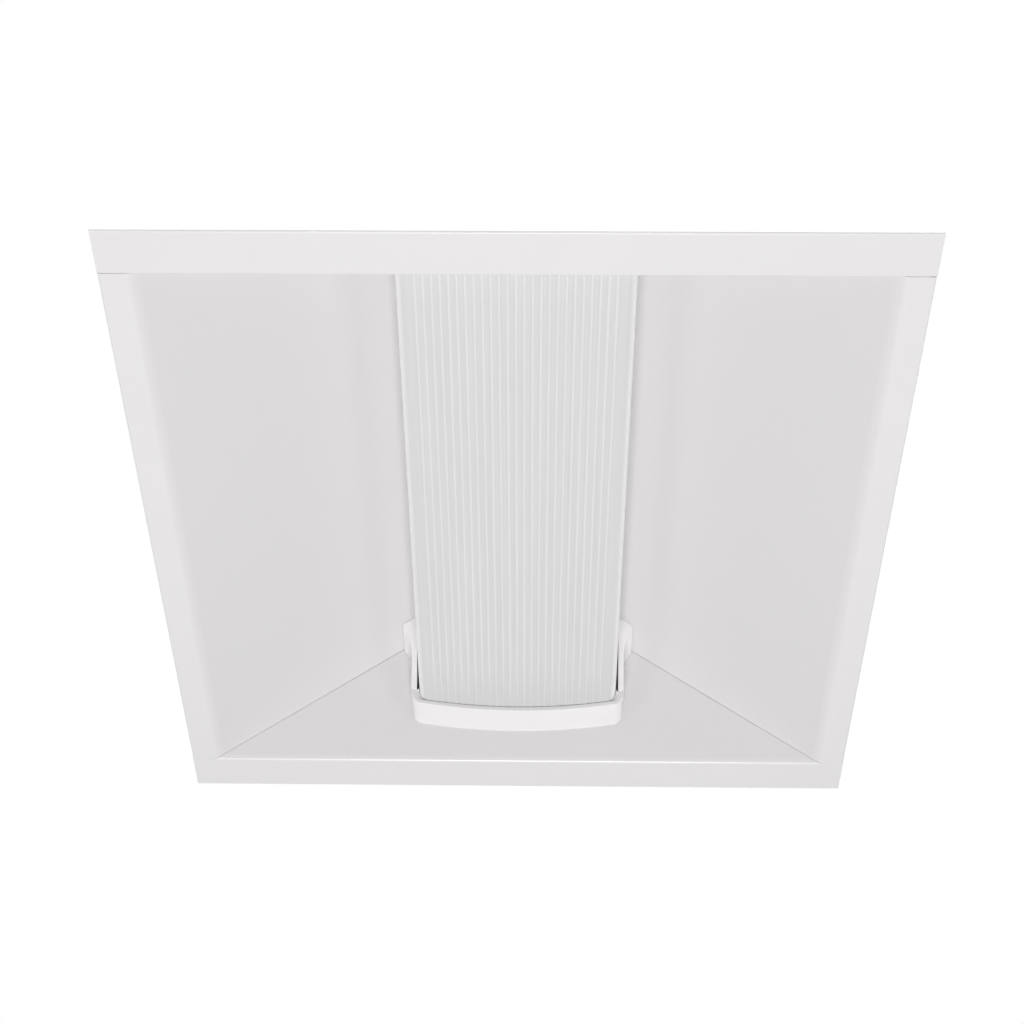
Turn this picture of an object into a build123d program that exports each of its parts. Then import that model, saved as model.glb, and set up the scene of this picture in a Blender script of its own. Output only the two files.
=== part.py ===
from build123d import *
import math
import os

# Recessed troffer light for a 2 ft ceiling grid. Millimetres, +Z up into the ceiling.
# The origin is the centre of the square opening, in the plane of the rim's underside,
# which rests on the grid. +X is to the right and +Y away from a viewer who looks up.

os.makedirs("parts", exist_ok=True)

# ---------------------------------------------------------------- driving dimensions
side_length = 603.0  # outside of the square rim
side_rim = 20.5  # width of the rim strip along each side reflector
end_rim = 35.5  # width of the rim strip along each end plate
rim_lip = 14.0  # height of the turned-up edge
sheet = 0.8  # painted steel sheet
side_angle = 22.62  # slope of the side reflectors, degrees
far_lean = 1.0  # the far end plate leans inwards this far per unit of height
near_lean = 0.32  # the near end plate is steep, so nothing shows past the near rim
mouth_half = 92.0  # half the opening between the reflectors' upper edges
flange_z = 94.4  # underside of the sheets' top flanges
seam_gap = 0.3  # each sheet stops this far short of the seam, which shows as a fine line
side_bend = 14.0  # soft bend between a side rim strip and its reflector
fold_bend = 1.2  # tight fold at the outer edge of an end plate's rim
far_bend = 3.6  # bend between the far end plate's rim strip and its leaning face
near_bend = 1.2

lens_half = 90.0  # half the lens's width
lens_neck = 88.3  # the lens's walls stand closer above a shoulder, clear of the caps' posts
shoulder_z = 62.0
lens_floor = 20.4  # lowest line of the lens between its ribs
lens_wall = 2.0
lens_top = 80.0
rib_count = 25
rib_pitch = 6.26
rib_width = 1.6
rib_height = 0.5
bow_radius = 850.0  # gentle bow of the lens and of the end caps' floor

cap_floor = 17.3  # underside of an end cap at its middle
cap_floor_wall = 2.3
cap_arm_out = 97.3  # outer half width of the cap's arms
cap_arm_in = 92.3
cap_front = 232.2  # the far cap's sloped front face meets the plane z = 0 at this y
cap_back = 265.6
cap_web = 2.8  # closes the cap behind the lens's end, along the slope
near_cap_web = 2.0
cap_back_radius = 2.6
near_cap_front = 262.2  # the slim near cap's front face meets the plane z = 0 here
near_cap_lean = 0.41
foot_out = 105.5  # outer half width of the flared feet
foot_start = 54.0  # height at which the flare starts
flare_end = 71.2  # height at which the flare ends

tray_z = 84.0  # underside of the LED tray
tray_sheet = 1.0
tray_half = 73.0
tray_near = -239.6
tray_far = 180.0

board_long = 390.0
board_wide = 24.0
board_thick = 1.6
board_x = 36.0
chip_pitch = 13.5
chips_per_board = 28
chip_step = 5.5  # each chip sits this far to one side of the board's middle line

box_in = 93.2  # driver box: outer face of its wall beside the spine
box_out = 222.0
box_half_y = 150.0
box_top = 93.7
lead_radius = 1.0
running = 0.06  # radial clearance of a pivot on its pin

# ---------------------------------------------------------------- worked-out values
half = side_length / 2
rim_x = half - side_rim
rim_y = half - end_rim
rise = math.tan(math.radians(side_angle))
mouth_z = (rim_x - mouth_half) * rise
mouth_y = rim_y - far_lean * mouth_z
near_mouth_y = rim_y - near_lean * mouth_z
back_lift = sheet / math.cos(math.radians(side_angle))
pan_z = flange_z + sheet
pan_top = pan_z + sheet


def face_z(x):
    """Height of a side reflector's visible face at this distance from the middle."""
    return (rim_x - abs(x)) * rise


def back_z(x):
    """Height of a side reflector's upper side."""
    return face_z(x) + back_lift


def bow_z(x, floor):
    """Height of a bowed floor whose lowest line is at height floor."""
    return floor + bow_radius - math.sqrt(bow_radius**2 - x**2)


def bent_sheet(points, radii, thickness=sheet, side=Side.RIGHT):
    """Cross-section of a bent sheet, from the line of its outer face."""
    with BuildSketch() as section:
        with BuildLine():
            FilletPolyline(*points, radius=radii)
            offset(amount=thickness, side=side)
        make_face()
    return section.sketch


def trough(half_width, floor, corner, top):
    """Filled cross-section of a trough with a gently bowed floor."""
    edge = bow_z(half_width, floor)
    with BuildSketch() as section:
        with BuildLine():
            ThreePointArc((-half_width, edge), (0, floor), (half_width, edge))
            Polyline((half_width, edge), (half_width, top), (-half_width, top), (-half_width, edge))
        make_face()
        fillet(section.vertices().group_by(Axis.Y)[0], radius=corner)
    return section.sketch


def lean_band(front, front_lean, back, back_lean):
    """Cross-section, in Y and Z, of the band between two leaning lines that start at z = 0."""
    top = 120
    with BuildSketch() as section:
        with BuildLine():
            Polyline(
                (front, 0),
                (back, 0),
                (back - back_lean * top, top),
                (front - front_lean * top, top),
                close=True,
            )
        make_face()
    return section.sketch


# ---------------------------------------------------------------- sheets of the body
flange_deep = 15.0  # width of the sheets' top flanges
spine_near = -229.0  # the reflectors' top flanges run between these two
spine_far = 150.0
spine_screw_spots = [(x, y) for x in (-84, 84) for y in (-196, -92, 12, 116)]
near_screw_y = -233.3
far_screw_y = 179.5
end_screw_x = 50.0
end_screw_spots = [(x, y) for x in (-end_screw_x, end_screw_x) for y in (near_screw_y, far_screw_y)]
screw_hole = 2.1
bushing_y = -140.0
bushing_z = 87.2
bushing_hole = 4.6
corner_rivet_y = 258.0
corner_rivet_z = 8.0
rivet_hole = 1.7

reflector_line = bent_sheet(
    [
        (half, rim_lip),
        (half, 0),
        (rim_x, 0),
        (mouth_half, mouth_z),
        (mouth_half, flange_z),
        (mouth_half - flange_deep, flange_z),
    ],
    [1.6, side_bend, 2.0, 1.0],
)


def seam_y(x, lean):
    """Where a leaning end plate meets a side reflector, seen from above."""
    return rim_y - lean * face_z(x)


with BuildPart() as reflector_blank:
    with BuildSketch(Plane.XZ):
        add(reflector_line)
    extrude(amount=rim_y, both=True)
    # Cut along the seams with the two end plates, with the top flange between them.
    with BuildSketch(Plane.XY):
        with BuildLine():
            Polyline(
                (half + 1, -rim_y + seam_gap),
                (half + 1, rim_y - seam_gap),
                (rim_x, rim_y - seam_gap),
                (mouth_half, seam_y(mouth_half, far_lean) - seam_gap),
                (mouth_half, spine_far),
                (mouth_half - flange_deep - 1, spine_far),
                (mouth_half - flange_deep - 1, spine_near),
                (mouth_half, spine_near),
                (mouth_half, -seam_y(mouth_half, near_lean) + seam_gap),
                (rim_x, -rim_y + seam_gap),
                close=True,
            )
        make_face()
    extrude(amount=120, mode=Mode.INTERSECT)
    with Locations(*[(x, y, flange_z) for x, y in spine_screw_spots if x > 0]):
        Hole(radius=screw_hole, depth=5)
    for y in (-corner_rivet_y, corner_rivet_y):
        with Locations(Location((half, y, corner_rivet_z), (0, 90, 0))):
            Hole(radius=rivet_hole, depth=5)

with BuildPart() as left_reflector:
    mirror(reflector_blank.part, about=Plane.YZ)
left_reflector.part.label = "left_reflector"
export_step(left_reflector.part, "parts/left_reflector.step")

with BuildPart() as right_reflector:
    add(reflector_blank.part)
    with Locations(Location((mouth_half + 1, bushing_y, bushing_z), (0, 90, 0))):
        Hole(radius=bushing_hole, depth=5)
right_reflector.part.label = "right_reflector"
export_step(right_reflector.part, "parts/right_reflector.step")

ledge = 266.5  # the end plates' rim folds in over itself as far as this, and carries the grid clips
clip_x = 250.0
clip_y = 271.5
clip_rivet_radius = 2.0
fold_y = half + fold_bend * (1 / math.tan(math.radians(22.5)) - 1)  # corner of the 45 degree fold
lap_wide = 8.0  # how far a lap reaches behind its reflector
lap_gap = 0.12
lap_in = 97.0
lap_out = 268.0


def rim_details():
    """Closed ends of an end plate's rim, and tongues behind the side lips."""
    with BuildPart() as details:
        for sign in (-1, 1):
            with BuildSketch(Plane.YZ.offset(sign * half)):
                with BuildLine():
                    Polyline(
                        (rim_y + 0.6, 0),
                        (fold_y - 3.0, 0),
                        (fold_y - 2.6, 2.0),
                        (fold_y - rim_lip - 0.3, rim_lip - 0.4),
                        (fold_y - rim_lip - 0.7, rim_lip),
                        (rim_y + 0.6, rim_lip),
                        close=True,
                    )
                make_face()
            extrude(amount=-sign * sheet)
            with Locations((sign * (half - 1.5 * sheet), rim_y - 3, corner_rivet_z)):
                Box(sheet, 28, 9)
            with Locations(Location((sign * half, corner_rivet_y, corner_rivet_z), (0, 90, 0))):
                Hole(radius=rivet_hole, depth=5)
    return details.part


def seam_lap(lean, low, start, end):
    """Strip behind the right reflector, from start to end past the seam, raised by low."""
    top = 2 * back_lift + lap_gap
    with BuildPart() as lap:
        with BuildSketch(Plane.XZ):
            with BuildLine():
                Polyline(
                    (lap_in, face_z(lap_in) + low),
                    (lap_out, face_z(lap_out) + low),
                    (lap_out, face_z(lap_out) + top),
                    (lap_in, face_z(lap_in) + top),
                    close=True,
                )
            make_face()
        extrude(amount=-half)
        with BuildSketch(Plane.XY):
            with BuildLine():
                Polyline(
                    (lap_in, seam_y(lap_in, lean) + start),
                    (lap_out, seam_y(lap_out, lean) + start),
                    (lap_out, seam_y(lap_out, lean) + end),
                    (lap_in, seam_y(lap_in, lean) + end),
                    close=True,
                )
            make_face()
        extrude(amount=120, mode=Mode.INTERSECT)
    return lap.part


def end_plate(lean, bend, flange_half, screw_y):
    """An end plate at +Y: rim strip, leaning face, short upright neck and top flange."""
    neck_y = rim_y - lean * mouth_z
    line = bent_sheet(
        [
            (ledge, rim_lip),
            (fold_y - rim_lip, rim_lip),
            (fold_y, 0),
            (rim_y, 0),
            (neck_y, mouth_z),
            (neck_y, flange_z),
            (neck_y - flange_deep, flange_z),
        ],
        [1.6, fold_bend, bend, 2.0, 1.0],
    )
    with BuildPart() as plate:
        with BuildSketch(Plane.YZ):
            add(line)
        extrude(amount=half, both=True)
        # Full width at the rim, then narrowing along the two seams to the neck and its flange.
        with BuildSketch(Plane.XY):
            for sign in (-1, 1):
                with BuildLine():
                    Polyline(
                        (0, half + 1),
                        (sign * half, half + 1),
                        (sign * half, rim_y + seam_gap / 2),
                        (sign * rim_x, rim_y + seam_gap / 2),
                        (sign * (mouth_half - seam_gap), neck_y + seam_gap / 2),
                        (sign * (mouth_half - seam_gap), neck_y - 2),
                        (sign * flange_half, neck_y - 2),
                        (sign * flange_half, neck_y - flange_deep - 1),
                        (0, neck_y - flange_deep - 1),
                        close=True,
                    )
                make_face()
        extrude(amount=120, mode=Mode.INTERSECT)
        add(rim_details())
        # A lap closes each seam from behind, so that no light leaks through it.
        for lap in (
            seam_lap(lean, back_lift + lap_gap, -lap_wide, 0.6),
            seam_lap(lean, back_lift / 2, seam_gap / 2, 1.6),
        ):
            add(lap)
            mirror(lap, about=Plane.YZ)
        with Locations((-clip_x, clip_y, rim_lip), (clip_x, clip_y, rim_lip)):
            Hole(radius=clip_rivet_radius + running, depth=3)
        with Locations((-end_screw_x, screw_y, pan_z), (end_screw_x, screw_y, pan_z)):
            Hole(radius=screw_hole, depth=3)
    return plate.part


with BuildPart() as far_end_plate:
    add(end_plate(far_lean, far_bend, mouth_half - 2 * seam_gap, far_screw_y))
far_end_plate.part.label = "far_end_plate"
export_step(far_end_plate.part, "parts/far_end_plate.step")

with BuildPart() as near_end_plate:
    mirror(end_plate(near_lean, near_bend, 70, -near_screw_y), about=Plane.XZ)
near_end_plate.part.label = "near_end_plate"
export_step(near_end_plate.part, "parts/near_end_plate.step")

pan_half_x = mouth_half + 0.6
pan_near = 0.3 - near_mouth_y
pan_far = mouth_y - 0.3
pan_middle = (pan_near + pan_far) / 2
ear_x = 109.0
near_ear_y = -200.0
far_ear_y = 172.0
ear_spots = [(x, y) for x in (-ear_x, ear_x) for y in (near_ear_y, far_ear_y)]
ear_hole = 3.5
bead_height = 1.2
bead_long = 380.0
bead_wide = 16.0
bead_spots = [(-32, pan_middle), (32, pan_middle)]

with BuildPart() as top_pan:
    with BuildSketch(Plane.XY.offset(pan_z)):
        with Locations((0, pan_middle)):
            Rectangle(2 * pan_half_x, pan_far - pan_near)
        with Locations(*ear_spots):
            RectangleRounded(48, 24, 6)
        with Locations(*ear_spots):
            Circle(ear_hole, mode=Mode.SUBTRACT)
        with Locations(*(spine_screw_spots + end_screw_spots)):
            Circle(screw_hole, mode=Mode.SUBTRACT)
    extrude(amount=sheet)
    # Two pressed beads stiffen the flat pan.
    with BuildSketch(Plane.XY.offset(pan_z)):
        with Locations(*bead_spots):
            SlotOverall(bead_long, bead_wide, rotation=90)
    extrude(amount=sheet + bead_height)
    with BuildSketch(Plane.XY.offset(pan_z)):
        with Locations(*bead_spots):
            SlotOverall(bead_long - 2 * sheet, bead_wide - 2 * sheet, rotation=90)
    extrude(amount=bead_height, mode=Mode.SUBTRACT)
top_pan.part.label = "top_pan"
export_step(top_pan.part, "parts/top_pan.step")

# ---------------------------------------------------------------- fasteners of the body
head_height = 2.4
with BuildPart() as spine_screws:
    for x, y in spine_screw_spots + end_screw_spots:
        with BuildSketch(Plane.XY.offset(pan_top)):
            with Locations((x, y)):
                Circle(4.6)
        extrude(amount=0.8)
        with BuildSketch(Plane.XY.offset(pan_top + 0.8)):
            with Locations((x, y)):
                RegularPolygon(3.5, 6)
        extrude(amount=head_height - 0.8)
        with BuildSketch(Plane.XY.offset(pan_top)):
            with Locations((x, y)):
                Circle(screw_hole - 0.1)
        extrude(amount=-5.5)
spine_screws.part.label = "spine_screws"
export_step(spine_screws.part, "parts/spine_screws.step")

with BuildPart() as corner_rivets:
    for x in (-1, 1):
        for y in (-corner_rivet_y, corner_rivet_y):
            inner = x * (half - 2 * sheet)
            with BuildSketch(Plane((inner, y, corner_rivet_z), z_dir=(x, 0, 0))):
                Circle(rivet_hole - 0.1)
            extrude(amount=2 * sheet)
            with BuildSketch(Plane((inner, y, corner_rivet_z), z_dir=(-x, 0, 0))):
                Circle(3.0)
            extrude(amount=1.0)
corner_rivets.part.label = "corner_rivets"
export_step(corner_rivets.part, "parts/corner_rivets.step")

# ---------------------------------------------------------------- LED tray and boards
tray_flange_z = flange_z - tray_sheet
spring_x = 82.0
near_spring_y = -235.6
far_spring_y = 168.0
spring_rivet_radius = 1.2
link_x = 54.0  # connector that takes the driver's leads through the tray
middle_y = (tray_near + tray_far) / 2
board_screw_y = (middle_y - 125, middle_y, middle_y + 125)
tray_line = bent_sheet(
    [
        (mouth_half - 1, tray_flange_z),
        (tray_half, tray_flange_z),
        (tray_half, tray_z),
        (-tray_half, tray_z),
        (-tray_half, tray_flange_z),
        (-mouth_half + 1, tray_flange_z),
    ],
    [1.6, 1.6, 1.6, 1.6],
    thickness=tray_sheet,
)
with BuildPart() as led_tray:
    with BuildSketch(Plane.XZ):
        add(tray_line)
    extrude(amount=-tray_far)
    with BuildSketch(Plane.XZ):
        add(tray_line)
    extrude(amount=-tray_near)
    with Locations(*[(x, y, flange_z) for x, y in spine_screw_spots]):
        Hole(radius=screw_hole, depth=3)
    for x in (-spring_x, spring_x):
        with Locations((x, near_spring_y, flange_z), (x, far_spring_y, flange_z)):
            Hole(radius=spring_rivet_radius + 0.05, depth=3)
    # The output leads pass through the web, and their connector through the plate.
    with Locations(Location((tray_half, bushing_y, bushing_z), (0, 90, 0))):
        Hole(radius=3.4, depth=3)
    with Locations((link_x, bushing_y, tray_z)):
        Box(8.2, 8.2, 4, mode=Mode.SUBTRACT)
    with Locations(*[(x, y, tray_z + 1) for x in (-board_x, board_x) for y in board_screw_y]):
        Hole(radius=1.6, depth=3)
led_tray.part.label = "led_tray"
export_step(led_tray.part, "parts/led_tray.step")

for name, sign in (("left", -1), ("right", 1)):
    with BuildPart() as led_board:
        with BuildSketch(Plane.XY.offset(tray_z - board_thick)):
            with Locations((sign * board_x, middle_y)):
                RectangleRounded(board_wide, board_long, 1.5)
            with Locations(*[(sign * board_x, y) for y in board_screw_y]):
                Circle(1.7, mode=Mode.SUBTRACT)
        extrude(amount=board_thick)
    led_board.part.label = f"{name}_led_board"
    export_step(led_board.part, f"parts/{name}_led_board.step")

chip_z = tray_z - board_thick
chip_thick = 0.7
first_chip_y = middle_y - (chips_per_board - 1) / 2 * chip_pitch
with BuildPart() as led_chips:
    # Zigzag along each board, clear of the screws in its middle line.
    for x in (-board_x, board_x):
        for i in range(chips_per_board):
            step = chip_step if i % 2 else -chip_step
            with Locations((x + step, first_chip_y + i * chip_pitch, chip_z - chip_thick / 2)):
                Box(3.5, 2.8, chip_thick)
led_chips.part.label = "led_chips"
export_step(led_chips.part, "parts/led_chips.step")

with BuildPart() as board_screws:
    for x in (-board_x, board_x):
        for y in board_screw_y:
            with Locations((x, y, chip_z - 0.8)):
                Cylinder(2.8, 1.6)
            with Locations((x, y, chip_z + 2)):
                Cylinder(1.5, 4)
board_screws.part.label = "board_screws"
export_step(board_screws.part, "parts/board_screws.step")

jumper_y = -158.0
connector_wide = 4.4
inner_edge = board_x - board_wide / 2
outer_edge = board_x + board_wide / 2
with BuildPart() as board_connectors:
    for sign in (-1, 1):
        with Locations((sign * (inner_edge + connector_wide / 2), jumper_y, chip_z - 2)):
            Box(connector_wide, 7, 4)
    with Locations((outer_edge - connector_wide / 2, bushing_y, chip_z - 2)):
        Box(connector_wide, 7, 4)
board_connectors.part.label = "board_connectors"
export_step(board_connectors.part, "parts/board_connectors.step")

with BuildPart() as board_jumper:
    for y in (jumper_y - 1.6, jumper_y + 1.6):
        with Locations(Location((0, y, chip_z - 2), (0, 90, 0))):
            Cylinder(0.8, 2 * inner_edge)
board_jumper.part.label = "board_jumper"
export_step(board_jumper.part, "parts/board_jumper.step")

with BuildPart() as tray_connector:
    with Locations((link_x, bushing_y, tray_z + 4)):
        Box(12, 12, 6)
    with Locations((link_x, bushing_y, tray_z - 0.8)):
        Box(8, 8, 4.6)
    with Locations(((outer_edge + link_x - 4) / 2, bushing_y, chip_z - 1.9)):
        Box(link_x - 4 - outer_edge, 3, 1.2)
tray_connector.part.label = "tray_connector"
export_step(tray_connector.part, "parts/tray_connector.step")

# ---------------------------------------------------------------- basket: lens and end caps
with BuildPart() as lens:
    with BuildSketch(Plane.XZ):
        add(trough(lens_half, lens_floor, 8, shoulder_z))
        add(trough(lens_half - lens_wall, lens_floor + lens_wall, 6, lens_top), mode=Mode.SUBTRACT)
        for sign in (-1, 1):
            with BuildLine():
                Polyline(
                    (sign * lens_half, shoulder_z),
                    (sign * lens_neck, shoulder_z + 3),
                    (sign * lens_neck, lens_top),
                    (sign * (lens_neck - lens_wall), lens_top),
                    (sign * (lens_neck - lens_wall), shoulder_z + 3),
                    (sign * (lens_half - lens_wall), shoulder_z),
                    close=True,
                )
            make_face()
        # Hems along the tops of the walls stiffen the trough.
        with Locations((3 - lens_neck, lens_top - 0.8), (lens_neck - 3, lens_top - 0.8)):
            Rectangle(6, 1.6)
        # The lengthwise ribs of the underside.
        for i in range(rib_count):
            x = (i - (rib_count - 1) / 2) * rib_pitch
            with Locations((x, bow_z(x, lens_floor))):
                Rectangle(rib_width, 2 * rib_height)
    extrude(amount=rim_y, both=True)
    # Each end is cut along the slope of its end plate.
    near_start = cap_back - near_cap_web - 0.4
    with BuildSketch(Plane.YZ):
        add(lean_band(-near_start, -near_lean, cap_back - cap_web - 0.4, far_lean))
    extrude(amount=half, both=True, mode=Mode.INTERSECT)
lens.part.label = "lens"
export_step(lens.part, "parts/lens.step")

post_in = 89.0
post_out = 91.5
far_post_y = 170.0
near_post_y = -236.6


def cap_piece(section, band):
    """Part of a cap: a section in X and Z, kept inside a band of Y and Z."""
    with BuildPart() as piece:
        with BuildSketch(Plane.XZ):
            add(section)
        extrude(amount=-half)
        with BuildSketch(Plane.YZ):
            add(band)
        extrude(amount=half, both=True, mode=Mode.INTERSECT)
    return piece.part


with BuildSketch() as cap_u:
    add(trough(cap_arm_out, cap_floor, 9, 90))
    # The feet flare out in a hollow curve to the reflectors.
    for sign in (-1, 1):
        with BuildLine():
            TangentArc((sign * cap_arm_out, foot_start), (sign * foot_out, flare_end), tangent=(0, 1))
            Polyline(
                (sign * foot_out, flare_end),
                (sign * foot_out, 90),
                (sign * cap_arm_in, 90),
                (sign * cap_arm_in, foot_start),
                (sign * cap_arm_out, foot_start),
            )
        make_face()
    add(trough(cap_arm_in, cap_floor + cap_floor_wall, 6, 95), mode=Mode.SUBTRACT)
    # The tops of the feet follow the reflectors, just clear of them.
    for sign in (-1, 1):
        with BuildLine():
            Polyline(
                (sign * 60, face_z(60) - 0.4),
                (sign * 130, face_z(130) - 0.4),
                (sign * 130, 130),
                (sign * 60, 130),
                close=True,
            )
        make_face(mode=Mode.SUBTRACT)

# A ring inside the cap fills the space round the lens's lower corners.
ring_top = 31.0
with BuildSketch() as lens_ring:
    add(trough(cap_arm_in + 0.5, cap_floor + 1, 6.5, ring_top))
    add(trough(lens_half + 0.35, cap_floor + cap_floor_wall, 8.3, ring_top + 5), mode=Mode.SUBTRACT)

cap_web_section = trough(cap_arm_in + 1, cap_floor + 1, 6, 74)


def posts(y, long):
    """Posts on a cap's arms, which the springs in the mouth grip."""
    with BuildPart() as pair:
        for sign in (-1, 1):
            with Locations((sign * (post_in + post_out) / 2, y, 80)):
                Box(post_out - post_in, long, 20)
            with Locations((sign * (post_in + 93) / 2, y, 73)):
                Box(93 - post_in, long, 6)
    return pair.part


with BuildPart() as far_end_cap:
    add(cap_piece(cap_u.sketch, lean_band(cap_front, far_lean, cap_back, far_lean)))
    add(cap_piece(cap_web_section, lean_band(cap_back - cap_web, far_lean, cap_back, far_lean)))
    add(cap_piece(lens_ring.sketch, lean_band(cap_front + 1.5, far_lean, cap_back, far_lean)))
    add(posts(far_post_y, 12))
    # The lower back corner is rounded off where the cap meets the end plate.
    low_back = far_end_cap.faces().filter_by(lambda f: f.center().Z < 25).edges()
    fillet(
        [e for e in low_back if abs(e.center().Y + e.center().Z - cap_back) < 0.3 and abs(e.center().X) < 1],
        radius=cap_back_radius,
    )
far_end_cap.part.label = "far_end_cap"
export_step(far_end_cap.part, "parts/far_end_cap.step")

with BuildPart() as slim_cap:
    slim_band = lean_band(near_cap_front, near_cap_lean, cap_back, near_lean)
    add(cap_piece(cap_u.sketch, slim_band))
    add(cap_piece(lens_ring.sketch, slim_band))
    add(cap_piece(cap_web_section, lean_band(cap_back - near_cap_web, near_lean, cap_back, near_lean)))
    add(posts(-near_post_y, 6.8))

with BuildPart() as near_end_cap:
    mirror(slim_cap.part, about=Plane.XZ)
near_end_cap.part.label = "near_end_cap"
export_step(near_end_cap.part, "parts/near_end_cap.step")

# ---------------------------------------------------------------- springs that hold the basket
leaf = 0.5
spring_spots = [(x, y) for x in (-1, 1) for y in (near_spring_y, far_spring_y)]
leaf_line = bent_sheet(
    [(77, tray_flange_z), (86.7, tray_flange_z), (86.7, 91), (88.6, 86), (87, 81.5)],
    [1.0, 1.5, 2.0],
    thickness=leaf,
)
with BuildPart() as basket_springs:
    for sign, y in spring_spots:
        with BuildSketch(Plane.XZ.offset(-y)):
            if sign > 0:
                add(leaf_line)
            else:
                mirror(leaf_line, about=Plane.YZ)
        extrude(amount=4, both=True)
        with Locations((sign * spring_x, y, tray_flange_z)):
            Hole(radius=spring_rivet_radius + 0.05, depth=3)
basket_springs.part.label = "basket_springs"
export_step(basket_springs.part, "parts/basket_springs.step")

with BuildPart() as spring_rivets:
    for sign, y in spring_spots:
        with BuildSketch(Plane.XY.offset(tray_flange_z - leaf)):
            with Locations((sign * spring_x, y)):
                Circle(spring_rivet_radius)
        extrude(amount=leaf + tray_sheet)
        for z, away in ((tray_flange_z - leaf, -0.6), (flange_z, 0.6)):
            with BuildSketch(Plane.XY.offset(z)):
                with Locations((sign * spring_x, y)):
                    Circle(2.2)
            extrude(amount=away)
spring_rivets.part.label = "spring_rivets"
export_step(spring_rivets.part, "parts/spring_rivets.step")

# ---------------------------------------------------------------- grid clips
clip_sheet = 1.2
clip_half = 4.5  # half the width of the clip's strip
clip_z = rim_lip + 0.1
clip_reach = 40.0
clip_tall = 41.0  # passes over the bulb of a 38 mm tee
for end_name, end in (("near", -1), ("far", 1)):
    for side_name, hand in (("left", -1), ("right", 1)):
        # Stored along the rim: the hook points to the middle of the light.
        pivot = Plane((hand * clip_x, end * clip_y, 0), x_dir=(-hand, 0, 0), z_dir=(0, hand, 0))
        hook_line = bent_sheet(
            [
                (-6, clip_z),
                (6.2, clip_z),
                (6.2, clip_tall - clip_sheet),
                (clip_reach, clip_tall - clip_sheet),
                (clip_reach + 2.5, clip_tall - 5),
            ],
            [1.8, 1.4, 1.4],
            thickness=clip_sheet,
            side=Side.LEFT,
        )
        with BuildPart() as grid_clip:
            with BuildSketch(pivot):
                add(hook_line)
            extrude(amount=clip_half, both=True)
            with Locations((hand * clip_x, end * clip_y, clip_z)):
                Hole(radius=clip_rivet_radius + running, depth=3)
        name = f"{end_name}_{side_name}_clip"
        grid_clip.part.label = name
        export_step(grid_clip.part, f"parts/{name}.step")

with BuildPart() as clip_rivets:
    for x in (-clip_x, clip_x):
        for y in (-clip_y, clip_y):
            with BuildSketch(Plane.XY.offset(rim_lip - sheet - 1.2)):
                with Locations((x, y)):
                    Circle(3.8)
            extrude(amount=1.2)
            with BuildSketch(Plane.XY.offset(rim_lip - sheet)):
                with Locations((x, y)):
                    Circle(clip_rivet_radius)
            extrude(amount=sheet + clip_sheet + 0.3)
            with BuildSketch(Plane.XY.offset(clip_z + clip_sheet + 0.1)):
                with Locations((x, y)):
                    Circle(3.8)
            extrude(amount=1.2)
clip_rivets.part.label = "clip_rivets"
export_step(clip_rivets.part, "parts/clip_rivets.step")

# ---------------------------------------------------------------- driver box on the right back
hinge_x = 103.0
hinge_z = 91.0
pin_radius = 1.5
conduit_radius = 11.1  # for a half-inch conduit fitting
conduit_y = 105.0
conduit_z = 62.0
knockout_x = 188.0
knockout_z = 68.0
ground_y = 72.0
ground_z = 65.0
strip_out = 98.0  # edge of the box's inward strip along the spine
tab_x = 214.0  # tab that takes the cover's screw
tab_z = 92.6
cover_screw_radius = 1.75
tray_rivet_y = 120.0
tray_rivet_z = 53.0
slope = math.radians(side_angle)
# Lies on the upper side of the right reflector, X pointing down the slope.
back_plane = Plane(
    origin=(box_in, 0, back_z(box_in)),
    x_dir=(math.cos(slope), 0, -math.sin(slope)),
    z_dir=(math.sin(slope), 0, math.cos(slope)),
)


def box_section(low_x, high_x, top):
    """Section of the driver box in X and Z, standing on the reflector's upper side."""
    with BuildSketch() as section:
        with BuildLine():
            Polyline(
                (low_x, back_z(low_x)), (high_x, back_z(high_x)), (high_x, top), (low_x, top), close=True
            )
        make_face()
    return section.sketch


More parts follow.
